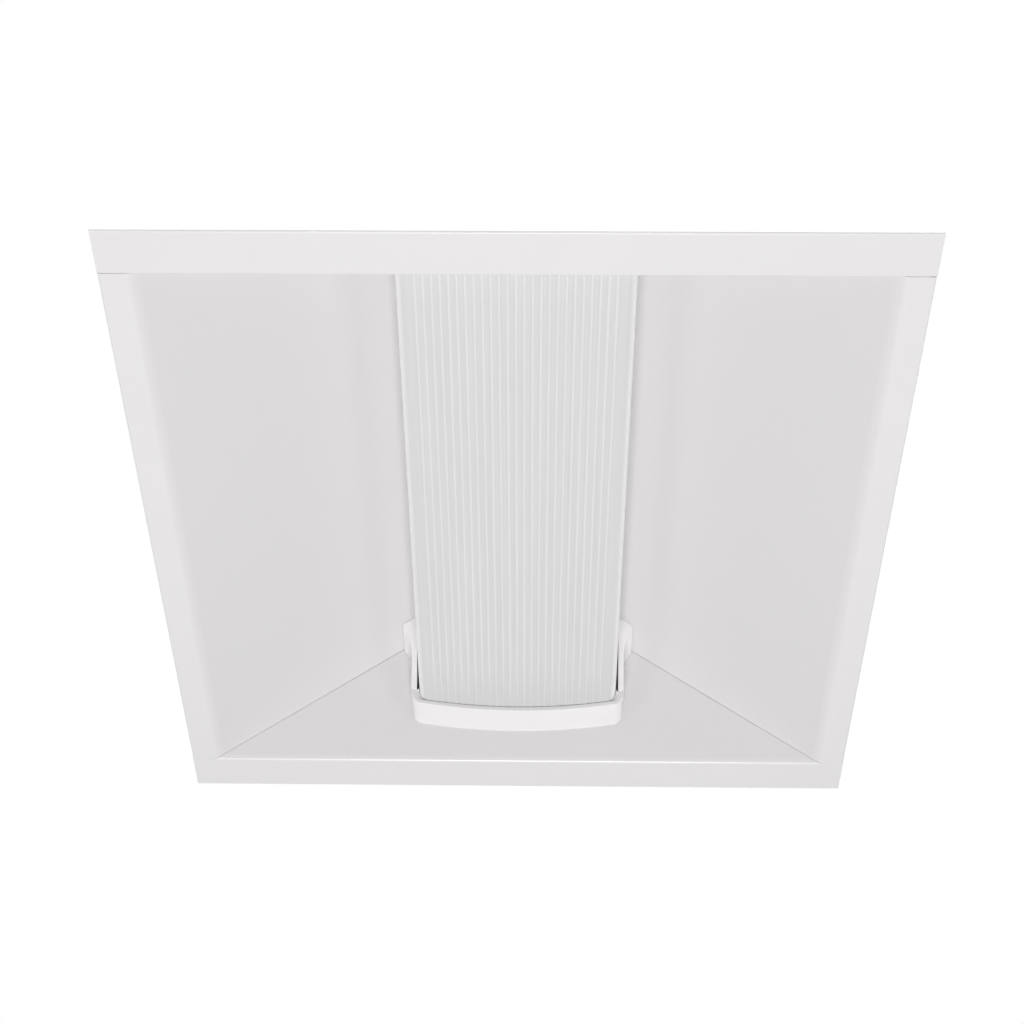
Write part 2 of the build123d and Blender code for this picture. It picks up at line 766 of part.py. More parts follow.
with BuildPart() as driver_box:
    with BuildSketch(Plane.XZ):
        add(box_section(box_in, box_out, box_top))
    extrude(amount=box_half_y, both=True)
    # The foot flange spreads out on the reflector round the three outer walls.
    slope_long = (box_out - box_in) / math.cos(slope)
    with BuildSketch(back_plane):
        with Locations((slope_long / 2 + 5, 0)):
            Rectangle(slope_long + 10, 2 * box_half_y + 20)
    extrude(amount=sheet)
    with BuildSketch(Plane.XZ):
        with BuildLine():
            inside = box_out - sheet
            Polyline(
                (box_in + sheet, back_z(box_in + sheet) - 2),
                (inside, back_z(inside) - 2),
                (inside, box_top + 1),
                (box_in + sheet, box_top + 1),
                close=True,
            )
        make_face()
    extrude(amount=box_half_y - sheet, both=True, mode=Mode.SUBTRACT)
    # Nothing of the flange reaches past the wall beside the spine, which clears the reflector's bend.
    with Locations((box_in - 10, 0, 80)):
        Box(20, 400, 60, mode=Mode.SUBTRACT)
    with Locations((box_in + 1, 0, 76)):
        Box(4, 400, 10, mode=Mode.SUBTRACT)
    # Inward strip along the spine and a tab for the cover's screw.
    with Locations(((box_in + strip_out) / 2, 0, box_top - sheet / 2)):
        Box(strip_out - box_in, 2 * box_half_y, sheet)
    with Locations(((tab_x - 6 + inside) / 2 + 0.2, 0, tab_z - sheet / 2)):
        Box(inside - tab_x + 6.4, 16, sheet)
    with Locations((tab_x, 0, tab_z)):
        Hole(radius=cover_screw_radius + 1.0, depth=3)
    # Openings: leads to the spine, conduit, one closed knockout and the hinge pins.
    with Locations(Location((box_in + 1, bushing_y, bushing_z), (0, 90, 0))):
        Hole(radius=bushing_hole, depth=5)
    with Locations(Location((box_out, conduit_y, conduit_z), (0, 90, 0))):
        Hole(radius=conduit_radius, depth=3)
    with Locations(Location((box_out, ground_y, ground_z), (0, 90, 0))):
        Hole(radius=1.7, depth=3)
    with BuildSketch(Plane.XZ.offset(-box_half_y)):
        with Locations((knockout_x, knockout_z)):
            Circle(conduit_radius)
            Circle(conduit_radius - 0.5, mode=Mode.SUBTRACT)
            Rectangle(2.5, 30, mode=Mode.SUBTRACT)
    extrude(amount=3, mode=Mode.SUBTRACT)
    for y in (-box_half_y, box_half_y):
        with BuildSketch(Plane.XZ.offset(-y)):
            with Locations((hinge_x, hinge_z)):
                Circle(pin_radius)
        extrude(amount=2, both=True, mode=Mode.SUBTRACT)
    # The end walls are cut away round the pins, so that the cover's edge can swing down past them.
    for y in (-box_half_y, box_half_y):
        with BuildSketch(Plane.XZ.offset(-y)):
            with Locations((strip_out + 0.2, hinge_z - 3.4)):
                Rectangle(hinge_x - strip_out - 0.2, 8, align=(Align.MIN, Align.MIN))
            with Locations((hinge_x, hinge_z)):
                Circle(2.8, mode=Mode.SUBTRACT)
        extrude(amount=2, both=True, mode=Mode.SUBTRACT)
    for y in (-tray_rivet_y, tray_rivet_y):
        with Locations(Location((box_out, y, tray_rivet_z), (0, 90, 0))):
            Hole(radius=rivet_hole, depth=3)
driver_box.part.label = "driver_box"
export_step(driver_box.part, "parts/driver_box.step")

cover_gap = 0.4
skirt_low = 84.0
cover_out = box_out + cover_gap + sheet
cover_half_y = box_half_y + cover_gap + sheet
cover_z = 94.0
cover_in = hinge_x - 2
panel_x = 158.0
panel_wide = 70.0
panel_long = 240.0
panel_corner = 8.0
with BuildPart() as driver_box_cover:
    with BuildSketch(Plane.XY.offset(skirt_low)):
        with Locations(((cover_in + cover_out) / 2, 0)):
            Rectangle(cover_out - cover_in, 2 * cover_half_y)
    extrude(amount=cover_z + sheet - skirt_low)
    fillet(driver_box_cover.faces().sort_by(Axis.Z)[-1].edges().filter_by(Axis.X), radius=1.4)
    with BuildSketch(Plane.XY.offset(skirt_low)):
        with Locations(((cover_in - 1 + box_out + cover_gap) / 2, 0)):
            Rectangle(box_out + cover_gap - cover_in + 1, 2 * (box_half_y + cover_gap))
    extrude(amount=cover_z - skirt_low, mode=Mode.SUBTRACT)
    # A shallow pressed panel stiffens the cover.
    with BuildSketch(Plane.XY.offset(cover_z)):
        with Locations((panel_x, 0)):
            RectangleRounded(panel_wide, panel_long, panel_corner)
    extrude(amount=sheet + bead_height)
    with BuildSketch(Plane.XY.offset(cover_z)):
        with Locations((panel_x, 0)):
            RectangleRounded(panel_wide - 2 * sheet, panel_long - 2 * sheet, panel_corner - sheet)
    extrude(amount=bead_height, mode=Mode.SUBTRACT)
    for y in (-box_half_y, box_half_y):
        with BuildSketch(Plane.XZ.offset(-y)):
            with Locations((hinge_x, hinge_z)):
                Circle(pin_radius + running)
        extrude(amount=2, both=True, mode=Mode.SUBTRACT)
    with Locations((tab_x, 0, cover_z + sheet)):
        Hole(radius=cover_screw_radius, depth=3)
driver_box_cover.part.label = "driver_box_cover"
export_step(driver_box_cover.part, "parts/driver_box_cover.step")

with BuildPart() as cover_screw:
    with BuildSketch(Plane.XY.offset(cover_z + sheet)):
        with Locations((tab_x, 0)):
            Circle(4.8)
    extrude(amount=0.8)
    with BuildSketch(Plane.XY.offset(cover_z + sheet + 0.8)):
        with Locations((tab_x, 0)):
            RegularPolygon(3.6, 6)
    extrude(amount=2.0)
    with BuildSketch(Plane.XY.offset(cover_z + sheet)):
        with Locations((tab_x, 0)):
            Circle(cover_screw_radius)
    extrude(amount=-7)
cover_screw.part.label = "cover_screw"
export_step(cover_screw.part, "parts/cover_screw.step")

with BuildPart() as cover_pins:
    for sign in (-1, 1):
        start = sign * (box_half_y - sheet - 1.5)
        with BuildSketch(Plane((hinge_x, start, hinge_z), z_dir=(0, sign, 0))):
            Circle(pin_radius)
        extrude(amount=1.5 + 2 * sheet + cover_gap + 0.3)
        with BuildSketch(Plane((hinge_x, start, hinge_z), z_dir=(0, sign, 0))):
            Circle(2.6)
        extrude(amount=1.5)
        outer = start + sign * (1.5 + 2 * sheet + cover_gap + 0.3)
        with BuildSketch(Plane((hinge_x, outer, hinge_z), z_dir=(0, sign, 0))):
            Circle(2.8)
        extrude(amount=1.0)
cover_pins.part.label = "cover_pins"
export_step(cover_pins.part, "parts/cover_pins.step")

with BuildPart() as snap_bushing:
    with BuildSketch(Plane((mouth_half, bushing_y, bushing_z), z_dir=(1, 0, 0))):
        Circle(bushing_hole)
    extrude(amount=box_in + sheet - mouth_half)
    for x, z_dir in ((mouth_half, -1), (box_in + sheet, 1)):
        with BuildSketch(Plane((x, bushing_y, bushing_z), z_dir=(z_dir, 0, 0))):
            Circle(bushing_hole + 0.6)
        extrude(amount=1.2)
    with Locations(Location((mouth_half, bushing_y, bushing_z), (0, 90, 0))):
        Hole(radius=3.4, depth=12)
snap_bushing.part.label = "snap_bushing"
export_step(snap_bushing.part, "parts/snap_bushing.step")

# ---------------------------------------------------------------- driver and its wiring
shelf_z = 58.8
shelf_in = 160.0
driver_x = 192.0
driver_wide = 40.0
driver_tall = 28.0
driver_start = -130.0
driver_end = 60.0
driver_screw_y = (driver_start - 6, driver_end + 6)
with BuildPart() as driver_tray:
    with BuildSketch(Plane.XZ):
        add(
            bent_sheet(
                [
                    (box_out - sheet, tray_rivet_z - 6),
                    (box_out - sheet, shelf_z),
                    (shelf_in, shelf_z),
                    (shelf_in, back_z(shelf_in)),
                    (shelf_in + 13, back_z(shelf_in + 13)),
                ],
                [1.4, 1.4, 0.3],
                side=Side.LEFT,
            )
        )
    extrude(amount=143, both=True)
    with Locations(*[(driver_x, y, shelf_z) for y in driver_screw_y]):
        Hole(radius=1.7, depth=3)
    for y in (-tray_rivet_y, tray_rivet_y):
        with Locations(Location((box_out - sheet, y, tray_rivet_z), (0, 90, 0))):
            Hole(radius=rivet_hole, depth=3)
driver_tray.part.label = "driver_tray"
export_step(driver_tray.part, "parts/driver_tray.step")

with BuildPart() as driver_tray_rivets:
    for y in (-tray_rivet_y, tray_rivet_y):
        with BuildSketch(Plane((box_out - 2 * sheet, y, tray_rivet_z), z_dir=(1, 0, 0))):
            Circle(rivet_hole - 0.1)
        extrude(amount=2 * sheet)
        for x, z_dir in ((box_out - 2 * sheet, -1), (box_out, 1)):
            with BuildSketch(Plane((x, y, tray_rivet_z), z_dir=(z_dir, 0, 0))):
                Circle(3.0)
            extrude(amount=0.9)
driver_tray_rivets.part.label = "driver_tray_rivets"
export_step(driver_tray_rivets.part, "parts/driver_tray_rivets.step")

pocket_tall = 14.0
with BuildPart() as driver:
    middle = (driver_start + driver_end) / 2
    with Locations((driver_x, middle, shelf_z + driver_tall / 2)):
        Box(driver_wide, driver_end - driver_start, driver_tall)
    fillet(driver.edges().filter_by(Axis.Y), radius=1.5)
    # Mounting ears and the pockets of the two push-in connectors.
    with Locations((driver_x, middle, shelf_z + 0.5)):
        Box(18, driver_end - driver_start + 24, 1)
    for y in (driver_start, driver_end):
        with Locations((driver_x, y, shelf_z + 4 + pocket_tall / 2)):
            Box(28, 16, pocket_tall, mode=Mode.SUBTRACT)
    with Locations(*[(driver_x, y, shelf_z + 1) for y in driver_screw_y]):
        Hole(radius=1.7, depth=1)
driver.part.label = "driver"
export_step(driver.part, "parts/driver.step")

line_z = 70.0  # height at which the supply leads enter the driver
output_z = 74.0  # height at which the output leads leave it
output_x = (186.0, 192.0)
with BuildPart() as driver_connectors:
    for y, into in ((driver_start, 1), (driver_end, -1)):
        with Locations((driver_x, y + into * 4, shelf_z + 4 + pocket_tall / 2)):
            Box(28, 8, pocket_tall)
        with Locations((driver_x, y + into * 0.5, shelf_z + 4 + pocket_tall - 1.5)):
            Box(22, 1, 1, mode=Mode.SUBTRACT)
driver_connectors.part.label = "driver_connectors"
export_step(driver_connectors.part, "parts/driver_connectors.step")

with BuildPart() as driver_screws:
    for y in driver_screw_y:
        with Locations((driver_x, y, shelf_z + 1 + 1.1)):
            Cylinder(3.2, 2.2)
        with Locations((driver_x, y, shelf_z - 1.9)):
            Cylinder(1.6, 5.8)
driver_screws.part.label = "driver_screws"
export_step(driver_screws.part, "parts/driver_screws.step")

block_y = 92.0
block_size = 16.0
pole_pitch = 8.0
with BuildPart() as terminal_block:
    with Locations((driver_x, block_y, shelf_z + block_size / 2)):
        Box(30, block_size, block_size)
    for i in (-1, 0, 1):
        with Locations((driver_x + i * pole_pitch, block_y, shelf_z + block_size)):
            Hole(radius=2.4, depth=4)
    for side in (-1, 1):
        with Locations((driver_x + side * pole_pitch / 2, block_y, shelf_z + block_size)):
            Box(0.8, block_size, 3, mode=Mode.SUBTRACT)
terminal_block.part.label = "terminal_block"
export_step(terminal_block.part, "parts/terminal_block.step")


def lead(points, radii):
    """A lead along straight runs joined by arcs."""
    with BuildPart() as tube:
        with BuildLine() as path:
            FilletPolyline(*points, radius=radii)
        with BuildSketch(Plane(origin=path.line @ 0, z_dir=path.line % 0)):
            Circle(lead_radius)
        sweep()
    long = path.wire().length
    share = tube.part.volume / (long * math.pi * lead_radius**2)
    print(f"lead {long:.1f} mm, least radius {min(radii)} mm, volume by section times length {share:.4f}")
    return tube.part


block_face = block_y - block_size / 2
entry_z = line_z - 4
for name, x in (("live", driver_x - pole_pitch), ("neutral", driver_x)):
    line_lead = lead(
        [
            (x, driver_end, line_z),
            (x, driver_end + 8, line_z),
            (x, block_face - 8, entry_z),
            (x, block_face, entry_z),
        ],
        [15, 15],
    )
    line_lead.label = f"{name}_lead"
    export_step(line_lead, f"parts/{name}_lead.step")

barrel_x = 212.0
barrel_z = 71.0
ground_pole_x = driver_x + pole_pitch
ground_lead = lead(
    [
        (ground_pole_x, block_face, barrel_z),
        (ground_pole_x, ground_y, barrel_z),
        (barrel_x, ground_y, barrel_z),
    ],
    [5.4],
)
ground_lead.label = "ground_lead"
export_step(ground_lead, "parts/ground_lead.step")

with BuildPart() as ground_lug:
    with BuildSketch(Plane((box_out - sheet, ground_y, 0), x_dir=(0, -1, 0), z_dir=(-1, 0, 0))):
        with Locations((0, (ground_z + barrel_z) / 2 + 1)):
            Rectangle(8, barrel_z - ground_z + 2)
        with Locations((0, ground_z)):
            Circle(4)
            Circle(1.7, mode=Mode.SUBTRACT)
    extrude(amount=0.8)
    with BuildSketch(Plane((barrel_x, ground_y, barrel_z), z_dir=(1, 0, 0))):
        Circle(2)
    extrude(amount=box_out - sheet - 0.8 - barrel_x)
ground_lug.part.label = "ground_lug"
export_step(ground_lug.part, "parts/ground_lug.step")

with BuildPart() as ground_screw:
    with BuildSketch(Plane((box_out - sheet - 0.8, ground_y, ground_z), z_dir=(-1, 0, 0))):
        RegularPolygon(3.3, 6)
    extrude(amount=2.4)
    with BuildSketch(Plane((box_out - sheet - 0.8, ground_y, ground_z), z_dir=(1, 0, 0))):
        Circle(1.6)
    extrude(amount=6)
ground_screw.part.label = "ground_screw"
export_step(ground_screw.part, "parts/ground_screw.step")

for name, x, y in (
    ("positive", output_x[0], bushing_y + 1.5),
    ("negative", output_x[1], bushing_y - 1.5),
):
    output_lead = lead(
        [(x, driver_start, output_z), (x, y, output_z), (124, y, bushing_z), (link_x + 6, y, bushing_z)],
        [3.5, 60.0],
    )
    output_lead.label = f"{name}_lead"
    export_step(output_lead, f"parts/{name}_lead.step")
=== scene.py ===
# %% [markdown]
# # A recessed ceiling light, dressed for its portrait
# The object is a square lay-in light of folded white steel. It hangs above us, so the
# camera looks up at it: two sloped reflectors, a ribbed lens along the middle, and a glossy
# moulded cap that carries the lens at its far end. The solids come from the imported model.
# This script gives them their finishes, and remakes the pieces whose fine shape the eye
# rests on: the lens with its ribs, the moulded caps, the screws, rivets and LED chips.

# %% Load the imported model
import math

import bmesh
import bpy
from mathutils import Matrix, Vector


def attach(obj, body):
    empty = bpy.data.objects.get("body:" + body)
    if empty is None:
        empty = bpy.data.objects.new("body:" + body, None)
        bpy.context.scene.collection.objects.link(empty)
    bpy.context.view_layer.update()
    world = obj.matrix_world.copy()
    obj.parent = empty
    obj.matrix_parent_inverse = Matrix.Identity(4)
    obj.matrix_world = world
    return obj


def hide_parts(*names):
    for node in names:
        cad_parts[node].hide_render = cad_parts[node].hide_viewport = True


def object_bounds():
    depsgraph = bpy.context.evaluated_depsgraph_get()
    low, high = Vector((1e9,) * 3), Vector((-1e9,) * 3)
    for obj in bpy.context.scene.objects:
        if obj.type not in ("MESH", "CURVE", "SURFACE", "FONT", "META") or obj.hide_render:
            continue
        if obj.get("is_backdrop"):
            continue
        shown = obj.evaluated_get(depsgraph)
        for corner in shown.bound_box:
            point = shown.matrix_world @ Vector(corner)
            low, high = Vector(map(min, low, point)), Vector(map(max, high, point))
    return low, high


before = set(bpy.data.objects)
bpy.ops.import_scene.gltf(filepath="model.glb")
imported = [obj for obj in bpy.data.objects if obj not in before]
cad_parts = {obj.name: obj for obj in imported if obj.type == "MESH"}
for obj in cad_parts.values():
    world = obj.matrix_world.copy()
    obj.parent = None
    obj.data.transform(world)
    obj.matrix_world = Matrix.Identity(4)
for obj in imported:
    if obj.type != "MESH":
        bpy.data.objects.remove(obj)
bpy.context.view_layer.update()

# %% [markdown]
# ## The camera
# The rim is a square seen in perspective. Its four corners and the lines inside it fix one
# camera: where it stands, where it looks and how long its lens is. The camera stands below
# the light and a little over 0.9 m in front of its middle, and looks up at 49 degrees.

# %% Set up the camera
MM = 0.001
photo_size = 1024
focal_pixels = 1653.459
camera_yaw = -0.019934
camera_pitch = 0.855062
camera_roll = 0.0211118
camera_place = Vector((13.818, -915.601, -1006.056)) * MM

ahead = Vector((
    math.sin(camera_yaw) * math.cos(camera_pitch),
    math.cos(camera_yaw) * math.cos(camera_pitch),
    math.sin(camera_pitch),
))
level_right = Vector((math.cos(camera_yaw), -math.sin(camera_yaw), 0))
level_up = level_right.cross(ahead)
right = math.cos(camera_roll) * level_right + math.sin(camera_roll) * level_up
up = -math.sin(camera_roll) * level_right + math.cos(camera_roll) * level_up

camera = bpy.data.objects.new("camera", bpy.data.cameras.new("camera"))
bpy.context.scene.collection.objects.link(camera)
camera.data.sensor_width = 36.0
camera.data.lens = focal_pixels / photo_size * camera.data.sensor_width
camera.matrix_world = Matrix((
    (right.x, up.x, -ahead.x, camera_place.x),
    (right.y, up.y, -ahead.y, camera_place.y),
    (right.z, up.z, -ahead.z, camera_place.z),
    (0, 0, 0, 1),
))
bpy.context.scene.camera = camera
print("lens", round(camera.data.lens, 2), "mm")

# %% [markdown]
# ## Colours and nodes
# A colour picked from a screen is an sRGB value, and Blender works in linear light, so one
# function turns hex codes into linear numbers. A second function adds a node to any tree,
# sets its options and fills its inputs, either with a value or with a link. An input has a
# name. Where names repeat, as in the Mix and Math nodes, the input's number is used.

# %% Helpers for colours and nodes
def linear(code):
    """An sRGB hex colour as linear red, green, blue and alpha."""
    parts = [int(code[i:i + 2], 16) / 255 for i in (1, 3, 5)]
    return [c / 12.92 if c <= 0.04045 else ((c + 0.055) / 1.055) ** 2.4 for c in parts] + [1.0]


def add_node(tree, kind, options=None, inputs=None):
    """Adds a node. An input, given by name or number, takes a value, or an output to link, or
    a node, whose first output is linked."""
    made = tree.nodes.new(kind)
    for key, value in (options or {}).items():
        setattr(made, key, value)
    for key, value in (inputs or {}).items():
        if isinstance(value, bpy.types.Node):
            value = value.outputs[0]
        if isinstance(value, bpy.types.NodeSocket):
            tree.links.new(value, made.inputs[key])
        else:
            made.inputs[key].default_value = value
    return made


def new_material(name, colour, roughness, metallic=0.0, ior=1.5):
    """A material with its Principled shader: the material, its node tree and the shader."""
    material = bpy.data.materials.new(name)
    material.use_nodes = True
    shader = material.node_tree.nodes["Principled BSDF"]
    shader.inputs["Base Color"].default_value = linear(colour)
    shader.inputs["Roughness"].default_value = roughness
    shader.inputs["Metallic"].default_value = metallic
    shader.inputs["IOR"].default_value = ior
    return material, material.node_tree, shader


def per_metre(size_mm):
    """Texture scale, in cells per metre, for a pattern whose cells have this size."""
    return 1000 / size_mm


print("white #ffffff is", linear("#ffffff"))

# %% [markdown]
# ## Finishes of the sheet metal
# The reflectors and end plates are steel with a white polyester powder coat. The powder is
# blown on dry and melts in an oven, which leaves a satin sheen and a very fine orange peel.
# Two whites that differ by a hair, mixed by a wide noise, keep large faces from looking flat.
# The pan and the driver box are hot-dip galvanised: zinc freezes on the steel in leafy
# crystals, called spangle, each of which catches the light in its own way.

# %% Powder coat
powder_coat, tree, shader = new_material("white polyester powder coat", "#e8e6e7", 0.3, ior=1.6)
place = add_node(tree, "ShaderNodeTexCoord").outputs["Object"]
clouds = add_node(tree, "ShaderNodeTexNoise", inputs={
    "Vector": place, "Scale": per_metre(60), "Detail": 2,
})
tint = add_node(tree, "ShaderNodeMix", {"data_type": "RGBA"}, {
    0: clouds.outputs["Fac"], 6: linear("#e6e4e5"), 7: linear("#e9e7e8"),
})
# Painted shade: faces more than a few millimetres above the rim, which are the reflectors and
# end plates in the hollow, are painted a darker white.
hollow_shade_from, hollow_shade_to = 0.5 * MM, 4 * MM
above_rim = add_node(tree, "ShaderNodeSeparateXYZ", inputs={0: place}).outputs["Z"]
hollow = add_node(tree, "ShaderNodeMapRange", inputs={
    "Value": above_rim, "From Min": hollow_shade_from, "From Max": hollow_shade_to,
})
# The darker white is painted shade, fading in from 0.5 mm to 4 mm above the rim.
painted_hollow_shade = add_node(tree, "ShaderNodeMix", {"data_type": "RGBA"}, {
    0: hollow, 6: tint.outputs[2], 7: linear("#dfddde"),
})
tree.links.new(painted_hollow_shade.outputs[2], shader.inputs["Base Color"])
# Orange peel is about a millimetre wide. It is drawn 2.2 mm wide so that it can show at all.
peel = add_node(tree, "ShaderNodeTexNoise", inputs={
    "Vector": place, "Scale": per_metre(2.2), "Detail": 1,
}).outputs["Fac"]
bump = add_node(tree, "ShaderNodeBump", inputs={"Height": peel, "Strength": 0.12, "Distance": 0.1 * MM})
tree.links.new(bump.outputs["Normal"], shader.inputs["Normal"])
shade = add_node(tree, "ShaderNodeMapRange", inputs={"Value": peel, "To Min": 0.27, "To Max": 0.33})
tree.links.new(shade.outputs[0], shader.inputs["Roughness"])
print("finish:", powder_coat.name)

# %% Galvanised steel
galvanised, tree, shader = new_material("hot-dip galvanised steel", "#b4b8ba", 0.42, metallic=1.0)
place = add_node(tree, "ShaderNodeTexCoord").outputs["Object"]
# A noise moves the place a little, so that the crystals get crooked edges.
warp = add_node(tree, "ShaderNodeTexNoise", inputs={
    "Vector": place, "Scale": per_metre(14), "Detail": 3,
})
crooked = add_node(tree, "ShaderNodeMix", {"data_type": "VECTOR"}, {
    0: 0.006, 4: place, 5: warp.outputs["Color"],
})
spangle = add_node(tree, "ShaderNodeTexVoronoi", inputs={
    "Vector": crooked.outputs[1], "Scale": per_metre(11),
})
leaf = add_node(tree, "ShaderNodeSeparateColor", inputs={0: spangle.outputs["Color"]})
tint = add_node(tree, "ShaderNodeMix", {"data_type": "RGBA"}, {
    0: leaf.outputs[0], 6: linear("#a3a8ab"), 7: linear("#c3c6c7"),
})
tree.links.new(tint.outputs[2], shader.inputs["Base Color"])
shade = add_node(tree, "ShaderNodeMapRange", inputs={
    "Value": leaf.outputs[1], "To Min": 0.34, "To Max": 0.52,
})
tree.links.new(shade.outputs[0], shader.inputs["Roughness"])
bump = add_node(tree, "ShaderNodeBump", inputs={
    "Height": spangle.outputs["Distance"], "Strength": 0.1, "Distance": 0.2 * MM,
})
tree.links.new(bump.outputs["Normal"], shader.inputs["Normal"])
print("finish:", galvanised.name)

# %% [markdown]
# ## Finish of the lens
# The lens is extruded acrylic with a frosting agent in it. Light enters, scatters and leaves
# again, so it looks soft and a little deeper than paint. A clear shader over a white core
# could give that, but a Principled shader with some subsurface scattering does it in one.

# %% Frosted acrylic
far_shade_from, far_shade_to = 150 * MM, 240 * MM
corner_highlight_from, corner_highlight_to = 84.2 * MM, 89.2 * MM


def frosted(name, dark, light, far_end):
    """Frosted acrylic. A painted shade darkens it to far_end over the last 90 mm before the far cap,
    and a painted highlight lightens its corners and side walls.
    """
    material, tree, shader = new_material(name, light, 0.34, ior=1.49)
    shader.inputs["Subsurface Weight"].default_value = 0.12
    shader.inputs["Subsurface Radius"].default_value = (4 * MM, 4 * MM, 4 * MM)
    shader.inputs["Subsurface Scale"].default_value = 1.0
    place = add_node(tree, "ShaderNodeTexCoord").outputs["Object"]
    # The die leaves faint streaks along the extrusion, so the noise is stretched along Y.
    drawn = add_node(tree, "ShaderNodeMapping", inputs={"Vector": place, "Scale": (1.0, 0.012, 1.0)})
    streaks = add_node(tree, "ShaderNodeTexNoise", inputs={
        "Vector": drawn, "Scale": per_metre(2.4), "Detail": 2,
    })
    tint = add_node(tree, "ShaderNodeMix", {"data_type": "RGBA"}, {
        0: streaks.outputs["Fac"], 6: linear(dark), 7: linear(light),
    })
    across, along, _ = add_node(tree, "ShaderNodeSeparateXYZ", inputs={0: place}).outputs
    # Painted shade: the colour darkens over the last 90 mm towards the far cap.
    far_shade_share = add_node(tree, "ShaderNodeMapRange", {"interpolation_type": "SMOOTHSTEP"}, {
        "Value": along, "From Min": far_shade_from, "From Max": far_shade_to,
    })
    drift = add_node(tree, "ShaderNodeMix", {"data_type": "RGBA"}, {
        0: far_shade_share, 6: tint.outputs[2], 7: linear(far_end),
    })
    # The corners are smooth and gather light from both of their sides. That light is a painted
    #     highlight: the corners and the side walls are painted a near-white.
    side = add_node(tree, "ShaderNodeMath", {"operation": "ABSOLUTE"}, {0: across})
    corner_highlight_share = add_node(tree, "ShaderNodeMapRange", {"interpolation_type": "SMOOTHSTEP"}, {
        "Value": side, "From Min": corner_highlight_from, "From Max": corner_highlight_to,
    })
    corner_highlight = add_node(tree, "ShaderNodeMix", {"data_type": "RGBA"}, {
        0: corner_highlight_share, 6: drift.outputs[2], 7: linear("#fcfcfc"),
    })
    tree.links.new(corner_highlight.outputs[2], shader.inputs["Base Color"])
    grain = add_node(tree, "ShaderNodeTexNoise", inputs={
        "Vector": place, "Scale": per_metre(0.8), "Detail": 1,
    })
    bump = add_node(tree, "ShaderNodeBump", inputs={
        "Height": grain.outputs["Fac"], "Strength": 0.1, "Distance": 0.03 * MM,
    })
    tree.links.new(bump.outputs["Normal"], shader.inputs["Normal"])
    return material


# Painted shade: the last colour of each is the darker colour towards the far cap.
lens_acrylic = frosted("frosted extruded acrylic", "#d6d6d6", "#dfdfdf", "#d6d5d6")
# Painted highlight: the ribs take a lighter copy of the lens's acrylic, for the light their crests catch.
rib_highlight_acrylic = frosted("frosted acrylic of the ribs, lighter as painted highlight", "#e6e6e6", "#efefef", "#d9d9d9")
print("finishes:", lens_acrylic.name, "and", rib_highlight_acrylic.name)

# %% [markdown]
# ## Finishes of the moulded plastics
# The caps are injection moulded and polished, so they keep a crisp highlight, which a thin
# clear coat gives. Their lips, the nylon parts and the LED packages are duller, because an
# etched mould leaves a faint grain on them. The lips are also painted a darker white, which is
# painted shade on the faces that turn to the front.

# %% Polished caps and etched mouldings
cap_plastic, tree, shader = new_material("polished moulded polycarbonate", "#f4f2f3", 0.2, ior=1.58)
shader.inputs["Coat Weight"].default_value = 0.35
shader.inputs["Coat Roughness"].default_value = 0.08
place = add_node(tree, "ShaderNodeTexCoord").outputs["Object"]
# Plastic shrinks as it cools, and leaves a wide and very shallow waviness.
sink = add_node(tree, "ShaderNodeTexNoise", inputs={
    "Vector": place, "Scale": per_metre(18), "Detail": 1,
}).outputs["Fac"]
bump = add_node(tree, "ShaderNodeBump", inputs={"Height": sink, "Strength": 0.08, "Distance": 0.3 * MM})
tree.links.new(bump.outputs["Normal"], shader.inputs["Normal"])
tint = add_node(tree, "ShaderNodeMix", {"data_type": "RGBA"}, {
    0: sink, 6: linear("#f2f0f1"), 7: linear("#f7f5f6"),
})
tree.links.new(tint.outputs[2], shader.inputs["Base Color"])


def moulded(name, dark, light, roughness, grain_mm=0.9):
    """A moulded plastic with an etched grain and a slight drift of colour."""
    material, tree, shader = new_material(name, dark, roughness, ior=1.53)
    place = add_node(tree, "ShaderNodeTexCoord").outputs["Object"]
    grain = add_node(tree, "ShaderNodeTexNoise", inputs={
        "Vector": place, "Scale": per_metre(grain_mm), "Detail": 2,
    }).outputs["Fac"]
    tint = add_node(tree, "ShaderNodeMix", {"data_type": "RGBA"}, {
        0: grain, 6: linear(dark), 7: linear(light),
    })
    tree.links.new(tint.outputs[2], shader.inputs["Base Color"])
    bump = add_node(tree, "ShaderNodeBump", inputs={"Height": grain, "Strength": 0.15, "Distance": 0.05 * MM})
    tree.links.new(bump.outputs["Normal"], shader.inputs["Normal"])
    return material


# Painted shade: the lip's front faces are a darker copy of the cap's white, grained and duller.
lip_shade_plastic = moulded("moulded polycarbonate, darker as painted shade on the lip", "#d4d2d3", "#d8d6d7", 0.5)
white_nylon = moulded("natural moulded nylon", "#dedbd0", "#e8e5db", 0.48)
black_nylon = moulded("black moulded nylon", "#151517", "#202023", 0.46)
led_package = moulded("white moulded LED package", "#e6e5df", "#efeee9", 0.4)
led_phosphor = moulded("phosphor in clear silicone", "#d9a829", "#e9bd45", 0.3, 0.4)
mouldings = (cap_plastic, lip_shade_plastic, white_nylon, black_nylon, led_package, led_phosphor)
print("finishes:", [m.name for m in mouldings])

# %% [markdown]
# ## Finishes of the small metal parts
# Screws and clips are zinc plated in a barrel, which rubs them to a soft bluish shine.
# Springs are tempered strip, darker and drawn along their length. Rivets are plain
# aluminium, and the driver sits in a drawn aluminium case. A metal's colour is its
# reflection, so these differ in tint, roughness and the direction of their fine scratches.

